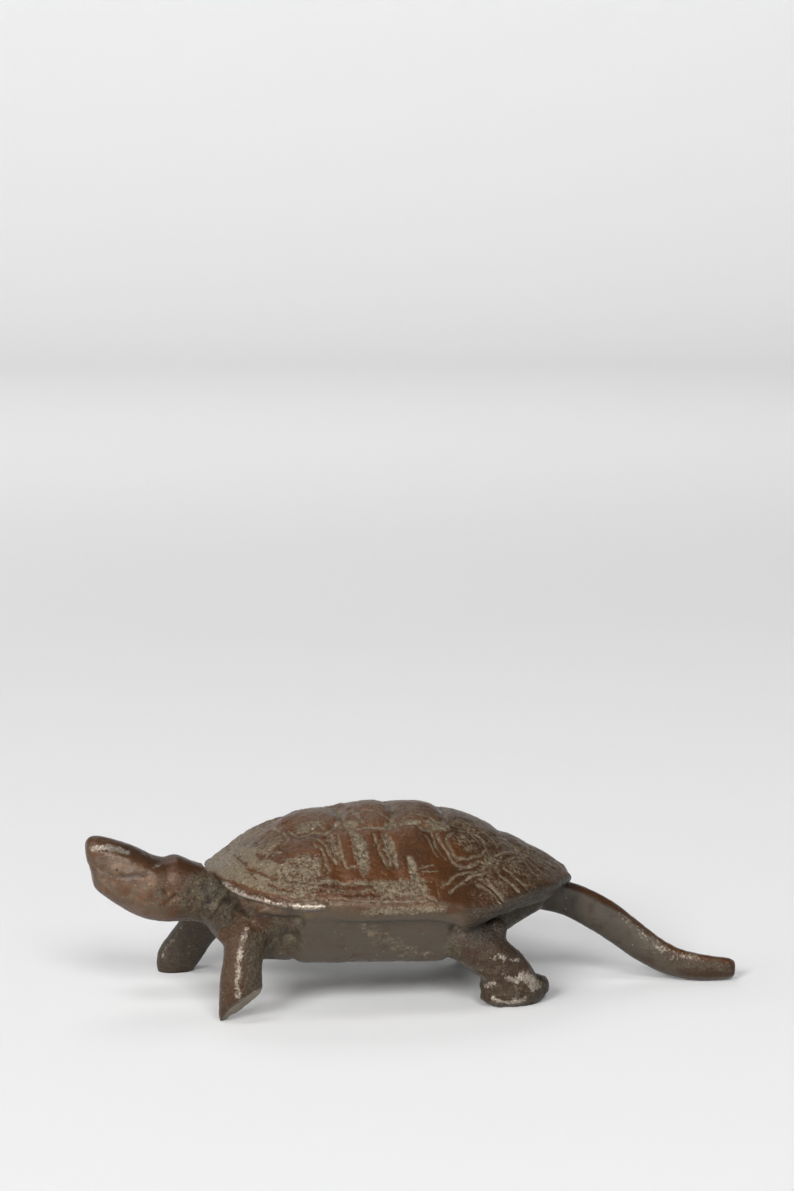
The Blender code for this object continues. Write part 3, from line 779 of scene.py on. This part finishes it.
rimLine = ((-18.7, 22, 21.2), (-12.5, 23.1, 21.1), (-5.6, 23.5, 20.9), (1.4, 23.6, 20.5), (5, 23.3, 20.4))

# pinholes, dark with painted shade inside: centre and radius, drawn on both sides, and the pit behind the
# front leg
pocketPlace = (-20.6, 17.4, 13.6)
pinholes = (
    ((-32.8, 5.9, 18.3), 0.5),
    ((-30.5, 9.4, 16.5), 0.45),
    (pocketPlace, 0.6),
    ((9.5, 9.3, 28.6), 0.2),
    ((-22, 16.4, 16.4), 0.3),
)

# yellowish crust on the side of the tail
tailGold = ((47.7, -5, 6), (50.4, -5.6, 4.6), (54.8, -6.8, 3), (59.5, -7.2, 3.4), (61.1, -7.8, 2.3))


def bandLow(x):
    # height of the line under the shell's side band
    return np.interp(x, (-19, -12, -5, 2.3, 7), (17.4, 17.2, 16.2, 15.2, 14.8))


def bodyRelief(points, normals, masks):
    x, y, z = points.T
    side = np.abs(y)
    folded = np.stack([x, side, z], axis=1)
    below = 1 - masks["dome"]
    crust = below * np.max([blob(folded, *place) for place in crustPlaces], axis=0)
    lumps = noiseAt(points, 1.5, 2, seed=41)
    pits = np.clip(-noiseAt(points, 1, seed=51) - 0.25, 0, 1)
    rise = crust * (0.2 * lumps - 0.55 * pits)
    pocketPit = bell(np.linalg.norm(folded - pocketPlace, axis=1), 1.3)
    rise -= 0.9 * pocketPit
    patch = bell(pathDistance(folded, wallPatch) + 1.2 * noiseAt(points, 1.6, 2, seed=55), 1.5) * below
    rise += patch * 0.3 * noiseAt(points, 0.9, 2, seed=57)
    feet = fallOff(4, 7.5, z) * (side > 8) * (x > 5)
    rise += feet * 0.32 * noiseAt(points, 1.7, 2, seed=61)
    leg = (x > 9) * (x < 26) * (side > 9) * below
    rise += leg * 0.12 * noiseAt(points, 1.2, 2, seed=63)
    rise += bodyLines(points, folded, masks)
    rise -= undersideSeams(points, normals)
    rubbedAndPaintedHighlight = rubbedAndHighlightStrokes(points, normals)
    arc = 0.85 * alongPath(folded, pocketArc, 0.7) * below
    gold = 0.85 * alongPath(points, tailGold, 1.3)
    bandEdge = z - bandLow(x)
    rise -= 0.12 * bell(bandEdge, 0.35) * (side > 17) * (x > -20) * (x < 9) * below
    masks["crust"] = np.maximum.reduce([crust, arc, gold])
    raiseMask(masks, "olive", 0.48 * patch)
    raiseMask(masks, "rough", 0.7 * patch)
    masks["pit"] = np.maximum(pocketPit, crust * np.clip(pits * 3, 0, 1))
    # painted highlight along the rim bead, over the rubbed edges and the painted foot glints
    masks["rubbedAndPaintedHighlight"] = np.maximum(rubbedAndPaintedHighlight, 0.85 * masks["bead"] * smoothStep(-33, -30.5, x))
    for name in ("olive", "groove"):
        masks[name] = masks[name] * (1 - masks["trough"]) * (1 - 0.7 * masks["bead"])
    # above the band the plates run on over the edge, grainy first and brown further back
    band = smoothStep(-0.25, 0.25, bandEdge) * window(x, -22, -18, 8, 12) * (side > 16) * below
    over = band * smoothStep(18.3, 18.9, z + 0.4 * lumps) * smoothStep(-14, -4, x)
    strip = over * fallOff(5, 7.5, x) * (1 - masks["trough"])
    masks["bandZone"], masks["over"] = band, over
    masks["band"] = band * (1 - over)
    raiseMask(masks, "olive", 0.7 * strip)
    raiseMask(masks, "rough", 0.8 * strip)
    masks["crust"] *= 1 - masks["lipUnder"]
    return normals * rise[:, None]


def bodyLines(points, folded, masks):
    # ridges and creases: the bead and trough of the rim fade out behind the neck
    fade = 6 * fallOff(7, 11, folded[:, 1])
    bead = pathDistance(folded, rimBead) + fade
    trough = pathDistance(folded, rimTrough) + fade
    sideLine = pathDistance(folded, rimLine)
    rise = 0.5 * bell(bead, 0.55) - 0.4 * bell(trough, 0.35) - 0.25 * bell(sideLine, 0.3)
    rise -= 0.7 * alongPath(folded, sootLines[0][2] + sootLines[1][2], 0.8)
    rise -= 0.4 * alongPath(folded, ankle, 0.6)
    rise += 0.35 * alongPath(folded, pocketArc, 0.7) * (1 - masks["dome"])
    rise += 0.3 * alongPath(points, rubbedEdgesAndHighlights["nearShin"][2], 1)
    rise += 0.25 * alongPath(points, rubbedEdgesAndHighlights["farShin"][2], 0.8)
    rise += 0.22 * alongPath(points, tailRidge, 0.6)
    holes = [np.linalg.norm(folded - centre, axis=1) / radius for centre, radius in pinholes]
    masks["holeGap"] = np.minimum(np.min(holes, axis=0), farAway)
    masks["lipUnder"] = 0.8 * alongPath(folded, lipUnder, 1)
    masks["trough"] = np.maximum(bell(trough, 0.4), 0.8 * bell(sideLine, 0.4))
    masks["bead"] = bell(bead, 0.9)
    strokes = [strength * alongPath(folded, path, width) for width, strength, path in sootLines]
    masks["sootLines"] = np.max(strokes, axis=0)
    return rise - 0.25 * bell(masks["holeGap"], 1.1)


def undersideSeams(points, normals):
    # the faint seams between the plates under the belly
    x, y, z = points.T
    flat = smoothStep(0.6, 0.85, -normals[:, 2]) * (z > 6) * (z < 12.5)
    flat *= (np.abs(y) < 15) * (np.abs(x + 2) < 24)
    gaps = [np.abs(y)] + [np.abs(x - at + 0.02 * y * y) for at in belly["seams"]]
    return 0.3 * bell(np.min(gaps, axis=0), 0.5) * flat


def rubbedAndHighlightStrokes(points, normals):
    # edges rubbed bright and painted highlights, with the painted glints on the hind feet
    x, y = points.T[:2]
    outer = (np.abs(y) > 11) * (x > 12) * smoothStep(0, 0.3, normals[:, 1] * np.sign(y))
    strokes = [strength * alongPath(points, path, width) for width, strength, path in rubbedEdgesAndHighlights.values()]
    for width, strength, path in footGlints:
        strokes.append(strength * outer * alongPath(points[:, ::2], path, width))
    return np.max(strokes, axis=0)


def cavityOf(mesh, points, normals, rounds=6):
    edges = np.empty(len(mesh.edges) * 2, np.int32)
    mesh.edges.foreach_get("vertices", edges)
    first, second = edges.reshape(-1, 2).T
    count = np.bincount(first, minlength=len(points)) + np.bincount(second, minlength=len(points))
    soft = points.copy()
    for _ in range(rounds):
        total = np.zeros_like(soft)
        np.add.at(total, first, soft[second])
        np.add.at(total, second, soft[first])
        soft = total / count[:, None]
    return ((soft - points) * normals).sum(axis=1)


def readArray(items, name, width=3):
    values = np.empty(len(items) * width, np.float32)
    items.foreach_get(name, values)
    return values.reshape(-1, width).astype(float)


def writePoints(mesh, points):
    mesh.vertices.foreach_set("co", points.astype(np.float32).ravel())
    mesh.update()


def regionMasks(points, normals, masks):
    x, y, z = points.T
    side = np.abs(y)
    down = -normals[:, 2]
    drift = noiseAt(points, 4.5, 2, seed=71)
    below = 1 - masks["dome"]
    cheek = smoothStep(0.25, 0.75, np.abs(normals[:, 1]) - 0.6 * np.maximum(-down, 0))
    masks["rose"] = fallOff(-41.5, -36.5, x) * (0.15 + 0.85 * cheek)
    # the face under the rim bead takes the lighter rose as painted light
    raiseMask(masks, "rose", masks["lipUnder"] * below)
    wall = window(x, -21, -18.5, 7.5, 11) * below * (1 - masks["bandZone"])
    under = smoothStep(0.3, 0.7, down) * below * smoothStep(-36, -30, x)
    tailRoot = smoothStep(22, 26, x) * fallOff(44, 54, x + drift * 8) * below
    tailRoot *= fallOff(0.35, 0.75, -down)
    # grey painted shade on the far legs' inner faces, turned from the light
    shadedInnerFace = (y > 8) * fallOff(12, 15, z) * smoothStep(-0.1, 0.4, -normals[:, 1])
    masks["steel"] = np.clip(np.maximum.reduce([wall, under, tailRoot, 0.6 * shadedInnerFace]), 0, 1)
    # crust: neck, legs and the corner under the rear of the shell; on the back of the near front leg it is
    # painted shade
    neck = smoothStep(-44, -36, x + 3 * drift) * fallOff(-27, -24.5, x) * (side < 12)
    neck *= fallOff(22.5, 24.5, z) * smoothStep(11, 15, z) * below
    rearCorner = window(x, 9, 12.5, 25, 29) * smoothStep(11, 13.5, z) * below
    hindLeg = window(x, 8, 11, 30, 31) * (side > 9.5) * (z < 14)
    frontLeg = (side > 13) * (z < 16) * (x < -24)
    farLeg = (y > 11) * (z < 15) * (x < -24)
    # the back of the near front leg, turned from the light, in painted shade
    shadedLegBack = window(x, -29.4, -28, -24, -22) * (side > 13) * (z < 16)
    shadedLegBack *= fallOff(0.45, 0.65, down)
    masks["crust"] = np.maximum.reduce([
        masks["crust"], 1.05 * shadedLegBack, 0.6 * frontLeg, 0.95 * neck, 0.62 * hindLeg, 0.95 * rearCorner,
        0.8 * farLeg,
    ])
    # the cut sole of the near front foot is pale
    facing = normals @ np.array(legs["nearSole"][1])
    sole = smoothStep(0.8, 0.92, facing) * (y < -12) * (x < -22) * (z < 9)
    raiseMask(masks, "olive", 0.85 * sole)
    masks["crust"] *= 1 - sole
    # painted shade: the sheltered sides of the legs and the corners round the neck and the tail
    tailShade = smoothStep(21, 24, x) * (1 - 0.5 * smoothStep(31, 38, x + drift * 4)) * below
    tailShade *= fallOff(44, 52, x)
    heel = window(x, 15.5, 18.5, 24, 27) * smoothStep(7, 9, z) * below
    farShade = (y > 8) * (z < 15) * below
    ridge = smoothStep(-2, -1.2, z - edgeHeight(shellPlace(x, y)[1])) * rearCorner
    soot = np.maximum.reduce([
        0.3 * shadedLegBack * (1 - sole), 0.9 * tailShade, 0.5 * heel, 0.5 * farShade, masks["pit"],
        rearCorner * (0.85 - 0.7 * ridge), 0.4 * neck * smoothStep(-36, -31, x),
    ])
    soot = np.maximum(soot * (1 - masks["rubbedAndPaintedHighlight"]), masks["sootLines"])
    masks["soot"] = np.clip(soot, 0, 1)
    # darker brown towards the rear and off the dome, less on the top of the tail, the cheeks and the plates
    # over the band
    worn = smoothStep(3, 14, x + drift * 6) * 0.8
    upper = smoothStep(0.2, 0.6, -down) * smoothStep(30, 34, x)
    deep = 0.7 * (1 - 0.5 * upper) * (1 - masks["rose"]) * (1 - 0.85 * masks["over"])
    masks["dark"] = np.clip(below * deep + worn * (1 - upper), 0, 1)


finishMasks = (
    "lineGap", "holeGap", "groove", "olive", "rough", "rose", "steel", "crust", "cavity", "dark",
    "band", "soot", "rubbedAndPaintedHighlight",
)


def detailCasting(piece):
    mesh = piece.data
    masks = {}
    points = readArray(mesh.vertices, "co")
    normals = readArray(mesh.vertices, "normal")
    move = castingUnevenness(points, normals)
    move += domeRelief(points, normals, masks)
    move += headRelief(points, normals)
    move += bodyRelief(points, normals, masks)
    writePoints(mesh, points + move)
    points = readArray(mesh.vertices, "co")
    normals = readArray(mesh.vertices, "normal")
    masks["cavity"] = cavityOf(mesh, points, normals)
    regionMasks(points, normals, masks)
    for name in finishMasks:
        layer = mesh.attributes.new(name, "FLOAT", "POINT")
        layer.data.foreach_set("value", masks[name].astype(np.float32))


def thinOut(piece):
    thin = piece.modifiers.new("facets", "DECIMATE")
    thin.ratio = meshing["triangles"] / (2.0 * len(piece.data.polygons))
    settleModifiers(piece)


def flattenSoles(piece):
    bm = bmesh.new()
    bm.from_mesh(piece.data)
    geometry = bm.verts[:] + bm.edges[:] + bm.faces[:]
    cut = bmesh.ops.bisect_plane(
        bm, geom=geometry, plane_co=(0, 0, 0), plane_no=(0, 0, 1), clear_inner=True
    )
    bmesh.ops.triangulate(bm, faces=fillCut(bm, cut))
    bm.to_mesh(piece.data)
    bm.free()


def standOnFrame(piece):
    # millimetres to metres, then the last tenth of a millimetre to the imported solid's size
    points = readArray(piece.data.vertices, "co") * mm
    low, high = points.min(axis=0), points.max(axis=0)
    cadLow, cadHigh = np.array(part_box("turtle")[0]), np.array(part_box("turtle")[1])
    print("casting", (high - low) * 1000.0, "solid", (cadHigh - cadLow) * 1000.0)
    points = cadLow + (points - low) * (cadHigh - cadLow) / (high - low)
    writePoints(piece.data, points)
    for face in piece.data.polygons:
        face.use_smooth = True


# finish
patina = {
    "brown": (0.084, 0.032, 0.011),
    "darkBrown": (0.036, 0.018, 0.009),
    "olive": (0.15, 0.116, 0.072),
    "paleOlive": (0.2, 0.16, 0.105),
    "darkOlive": (0.062, 0.042, 0.024),
    "rose": (0.135, 0.082, 0.048),
    "roseGrey": (0.082, 0.059, 0.041),
    "steel": (0.068, 0.054, 0.039),
    "band": (0.092, 0.061, 0.035),
    "crust": (0.098, 0.078, 0.044),
    "darkCrust": (0.038, 0.028, 0.017),
    # near black for painted shade
    "soot": (0.014, 0.011, 0.009),
    # rubbed bronze lightened into painted highlights
    "rubbedAndPaintedHighlight": (0.33, 0.28, 0.228),
    "speck": (0.42, 0.37, 0.29),
}


# the pinhole eyes, a dot of painted shade seen from the side, in metres on the finished piece
eye = {
    "centre": (-0.05365, 0.0, 0.0246),
    "radius": 0.00021,
}


bronze = bpy.data.materials.new("bronzePatina")
bronze.use_nodes = True


def newNode(kind, **inputs):
    made = bronze.node_tree.nodes.new(kind)
    for name, value in inputs.items():
        setattr(made, name, value)
    return made


def feed(value, socket):
    if isinstance(value, bpy.types.NodeSocket):
        bronze.node_tree.links.new(value, socket)
    else:
        socket.default_value = value


def mathNode(operation, first, second=0.0, third=0.0):
    made = newNode("ShaderNodeMath", operation=operation)
    for value, socket in zip((first, second, third), made.inputs):
        feed(value, socket)
    return made.outputs[0]


def times(first, second):
    return mathNode("MULTIPLY", first, second)


def larger(first, second):
    return mathNode("MAXIMUM", first, second)


def sway(value, ripple, amount):
    # moves a value up and down with a noise
    return mathNode("MULTIPLY_ADD", mathNode("SUBTRACT", ripple, 0.5), amount, value)


def mixColour(share, first, second):
    # a colour is a socket or the name of a patina colour
    made = newNode("ShaderNodeMix", data_type="RGBA")
    feed(share, made.inputs[0])
    for value, socket in ((first, made.inputs[6]), (second, made.inputs[7])):
        feed((*patina[value], 1.0) if isinstance(value, str) else value, socket)
    return made.outputs[2]


def mixNumber(share, first, second):
    made = newNode("ShaderNodeMix", data_type="FLOAT")
    for value, socket in ((share, made.inputs[0]), (first, made.inputs[2]), (second, made.inputs[3])):
        feed(value, socket)
    return made.outputs[0]


def rangeNode(value, low, high, toLow=0.0, toHigh=1.0):
    made = newNode("ShaderNodeMapRange", interpolation_type="SMOOTHSTEP")
    for number, socket in zip((value, low, high, toLow, toHigh), made.inputs):
        feed(number, socket)
    return made.outputs[0]


def noiseNode(place, size, detail, roughness):
    made = newNode("ShaderNodeTexNoise")
    feed(place, made.inputs["Vector"])
    for name, value in (("Scale", 1.0 / size), ("Detail", detail), ("Roughness", roughness)):
        made.inputs[name].default_value = value
    return made.outputs[0]


def readMask(name):
    return newNode("ShaderNodeAttribute", attribute_name=name).outputs["Fac"]


def spreadMask(mask, noises, soft=0.3):
    # breaks the edge of a soft mask up into speckles
    lifted = sway(sway(mask, noises["grain"], 1.1), noises["mottle"], 0.9)
    return rangeNode(lifted, 0.5 - soft, 0.5 + soft)


def mottledMask(name, noises, low, high, least):
    return times(readMask(name), rangeNode(noises["mottle"], low, high, least, 1.0))


def speckNode(place, size, share):
    cells = newNode("ShaderNodeTexVoronoi")
    feed(place, cells.inputs["Vector"])
    cells.inputs["Scale"].default_value = 1.0 / size
    apart = newNode("ShaderNodeSeparateColor")
    feed(cells.outputs["Color"], apart.inputs[0])
    chosen = mathNode("LESS_THAN", apart.outputs[0], share)
    return times(rangeNode(cells.outputs["Distance"], 0.06, 0.17, 1.0, 0.0), chosen)


def eyeDot(place):
    sideways = newNode("ShaderNodeVectorMath", operation="MULTIPLY")
    feed(place, sideways.inputs[0])
    sideways.inputs[1].default_value = (1.0, 0.0, 1.0)
    gap = newNode("ShaderNodeVectorMath", operation="DISTANCE")
    feed(sideways.outputs[0], gap.inputs[0])
    gap.inputs[1].default_value = eye["centre"]
    return rangeNode(gap.outputs["Value"], eye["radius"] * 0.8, eye["radius"] * 1.25, 1.0, 0.0)


# noise in the bronze: size in metres, detail and roughness
patinaNoise = {
    "grain": (0.00045, 3.0, 0.6),
    "mottle": (0.0019, 4.0, 0.6),
    "cloud": (0.007, 3.0, 0.55),
    "freckles": (0.0024, 7.0, 0.85),
    "crumbs": (0.0009, 5.0, 0.72),
    "flecks": (0.0005, 4.0, 0.7),
    "sparkle": (0.00022, 2.0, 0.6),
}

# how rough each part of the finish is
roughness = {"brown": 0.33, "steel": 0.42, "rose": 0.42, "crust": 0.5, "dust": 0.33, "rubbedAndPaintedHighlight": 0.25}


def finishShares(place, noises):
    # how much of each layer of the patina shows
    shares = {
        "band": mottledMask("band", noises, 0.25, 0.55, 0.5),
        "steel": mottledMask("steel", noises, 0.25, 0.5, 0.4),
        "rose": mottledMask("rose", noises, 0.32, 0.6, 0.3),
        "crust": spreadMask(times(readMask("crust"), 0.62), noises),
        # rubbed edges and painted highlights
        "rubbedAndPaintedHighlight": spreadMask(times(readMask("rubbedAndPaintedHighlight"), 0.66), noises, 0.2),
        "grainy": readMask("rough"),
    }
    ragged = sway(sway(readMask("lineGap"), noises["grain"], 2.2), noises["mottle"], 1.7)
    broken = rangeNode(noises["mottle"], 0.3, 0.55, 0.45, 1.0)
    shares["line"] = times(rangeNode(ragged, 0.55, 1.3, 1.0, 0.0), broken)
    dust = larger(readMask("groove"), readMask("olive"))
    dust = mathNode("MULTIPLY_ADD", readMask("cavity"), 2.2, dust)
    shares["dust"] = larger(spreadMask(dust, noises), shares["line"])
    # painted shade: sheltered sides, corners, pits, pinholes and the eye
    soot = times(readMask("soot"), rangeNode(noises["mottle"], 0.2, 0.6, 1.0, 0.6))
    soot = larger(soot, rangeNode(readMask("holeGap"), 0.8, 1.3, 1.0, 0.0))
    shares["soot"] = larger(soot, eyeDot(place))
    specks = speckNode(place, 0.0011, 0.3)
    shares["speck"] = times(specks, larger(shares["dust"], 0.35))
    return shares


def patinaColour(noises, shares):
    clouds = rangeNode(noises["cloud"], 0.4, 0.75, 0.0, 0.7)
    colour = mixColour(larger(readMask("dark"), clouds), "brown", "darkBrown")
    freckled = rangeNode(noises["freckles"], 0.42, 0.6)
    flecked = rangeNode(noises["flecks"], 0.4, 0.64)
    crumbed = rangeNode(noises["crumbs"], 0.36, 0.6)
    grainyDust = mixColour(crumbed, "darkOlive", "paleOlive")
    layers = {
        "band": "band",
        "steel": "steel",
        "rose": mixColour(freckled, "roseGrey", "rose"),
        "crust": mixColour(flecked, "darkCrust", "crust"),
        "dust": mixColour(shares["grainy"], "olive", grainyDust),
        "soot": "soot",
        "rubbedAndPaintedHighlight": "rubbedAndPaintedHighlight",
        "speck": "speck",
    }
    for name, tone in layers.items():
        colour = mixColour(shares[name], colour, tone)
    return colour


def patinaHeight(noises, shares):
    coarse = mathNode("MULTIPLY_ADD", noises["mottle"], 1.6, noises["grain"])
    glitter = mathNode("MULTIPLY_ADD", noises["sparkle"], 1.2, noises["grain"])
    glitter = mathNode("MULTIPLY_ADD", noises["crumbs"], 1.2, glitter)
    loose = times(shares["dust"], rangeNode(shares["grainy"], 0.0, 1.0, 0.25, 1.0))
    loose = larger(loose, times(shares["crust"], 0.4))
    height = mathNode("MULTIPLY_ADD", times(loose, glitter), 1.3, coarse)
    return mathNode("MULTIPLY_ADD", shares["line"], -1.6, height)


def finishBronze():
    shader = bronze.node_tree.nodes["Principled BSDF"]
    place = newNode("ShaderNodeTexCoord").outputs["Object"]
    noises = {name: noiseNode(place, *setting) for name, setting in patinaNoise.items()}
    shares = finishShares(place, noises)
    feed(patinaColour(noises, shares), shader.inputs["Base Color"])
    rough = roughness["brown"]
    for name in ("steel", "rose", "crust", "dust", "rubbedAndPaintedHighlight"):
        rough = mixNumber(shares[name], rough, roughness[name])
    feed(sway(rough, noises["grain"], 0.5), shader.inputs["Roughness"])
    metal = mixNumber(shares["dust"], 0.14, 0.06)
    metal = mixNumber(shares["rubbedAndPaintedHighlight"], metal, 0.6)
    feed(metal, shader.inputs["Metallic"])
    shader.inputs["Specular IOR Level"].default_value = 0.28
    bump = newNode("ShaderNodeBump")
    bump.inputs["Strength"].default_value = 0.7
    bump.inputs["Distance"].default_value = 0.00013
    feed(patinaHeight(noises, shares), bump.inputs["Height"])
    feed(bump.outputs[0], shader.inputs["Normal"])


# studio
studio = {
    "radius": 2.9,
    "wallHeight": 0.96,
    "bend": 0.95,
    "paper": (0.82, 0.82, 0.82),
    "sky": 0.05,
    # place, aim, size and power of each softbox
    "lamps": {
        "keySoftbox": ((-1.68, -2.39, 1.3), (0.0, 0.0, 0.01), 1.0, 86.0),
        "frontSoftbox": ((0.0, -2.65, 1.79), (0.0, 0.0, 0.01), 1.1, 56.0),
        "leftSoftbox": ((-2.92, 0.0, 1.3), (0.0, 0.0, 0.01), 1.1, 16.0),
        "topSoftbox": ((-0.9, -0.6, 2.9), (0.0, 0.0, 0.01), 0.9, 16.0),
        "backSoftbox": ((0.0, 2.0, 2.4), (0.0, 0.0, 0.01), 1.4, 13.0),
        "backdropWash": ((0.1, 1.3, 1.15), (0.1, 2.4, 0.35), 1.5, 5.4),
    },
}


def makeStudio():
    bm = bmesh.new()
    radius, bend, top = studio["radius"], studio["bend"], studio["wallHeight"]
    outline = [(0.0, 0.0), (radius - bend, 0.0)]
    for step in range(1, 13):
        turn = math.pi / 2.0 * step / 12.0
        outline.append((radius - bend + bend * math.sin(turn), bend - bend * math.cos(turn)))
    outline.append((radius, top))
    verts = [bm.verts.new((x, 0.0, z)) for x, z in outline]
    edges = [bm.edges.new(pair) for pair in zip(verts, verts[1:])]
    bmesh.ops.spin(
        bm, geom=verts + edges, cent=(0, 0, 0), axis=(0, 0, 1), angle=2 * math.pi, steps=96, use_merge=True
    )
    bmesh.ops.remove_doubles(bm, verts=bm.verts, dist=1e-5)
    bmesh.ops.recalc_face_normals(bm, faces=bm.faces)
    for face in bm.faces:
        face.smooth = True
    mesh = bpy.data.meshes.new("studioPaper")
    bm.to_mesh(mesh)
    bm.free()
    paper = bpy.data.materials.new("palePaper")
    paper.use_nodes = True
    shader = paper.node_tree.nodes["Principled BSDF"]
    shader.inputs["Base Color"].default_value = (*studio["paper"], 1.0)
    shader.inputs["Roughness"].default_value = 0.9
    shader.inputs["Specular IOR Level"].default_value = 0.1
    mesh.materials.append(paper)
    floor = addObject("studioPaper", mesh)


def addSoftbox(name, place, aim, size, power):
    light = bpy.data.lights.new(name, "AREA")
    light.size = size
    light.energy = power
    lamp = addObject(name, light)
    lamp.location = place
    lamp.rotation_euler = (Vector(aim) - Vector(place)).to_track_quat("-Z", "Y").to_euler()


def lightStudio():
    for name, setting in studio["lamps"].items():
        addSoftbox(name, *setting)
    world = bpy.data.worlds.new("studioAir")
    world.use_nodes = True
    world.node_tree.nodes["Background"].inputs[0].default_value = (1.0, 1.0, 1.0, 1.0)
    world.node_tree.nodes["Background"].inputs[1].default_value = studio["sky"]
    bpy.context.scene.world = world
    bpy.context.scene.view_settings.view_transform = "Standard"


photoView = {"place": (-0.11395, -0.5717, 0.1458), "tilt": 82.7, "turn": -11.0, "lens": 100.0}


def addCamera():
    lens = bpy.data.cameras.new("photoCamera")
    lens.lens = photoView["lens"]
    lens.sensor_width = 36.0
    lens.clip_start, lens.clip_end = 0.05, 20.0
    camera = addObject("photoCamera", lens)
    camera.location = photoView["place"]
    camera.rotation_euler = (math.radians(photoView["tilt"]), 0.0, math.radians(photoView["turn"]))
    bpy.context.scene.camera = camera


turtle = castRawShape()
print("raw shape ready")
runTogether(turtle)
print("one skin:", len(turtle.data.polygons), "faces")
refineDetail(turtle)
print("refined:", len(turtle.data.polygons), "faces")
detailCasting(turtle)
print("relief done")
thinOut(turtle)
flattenSoles(turtle)
standOnFrame(turtle)
turtle.data.materials.clear()
finishBronze()
turtle.data.materials.append(bronze)
turtle.data.calc_loop_triangles()
print("triangles:", len(turtle.data.loop_triangles))
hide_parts("turtle")
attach(turtle, "root")
makeStudio()
lightStudio()
addCamera()
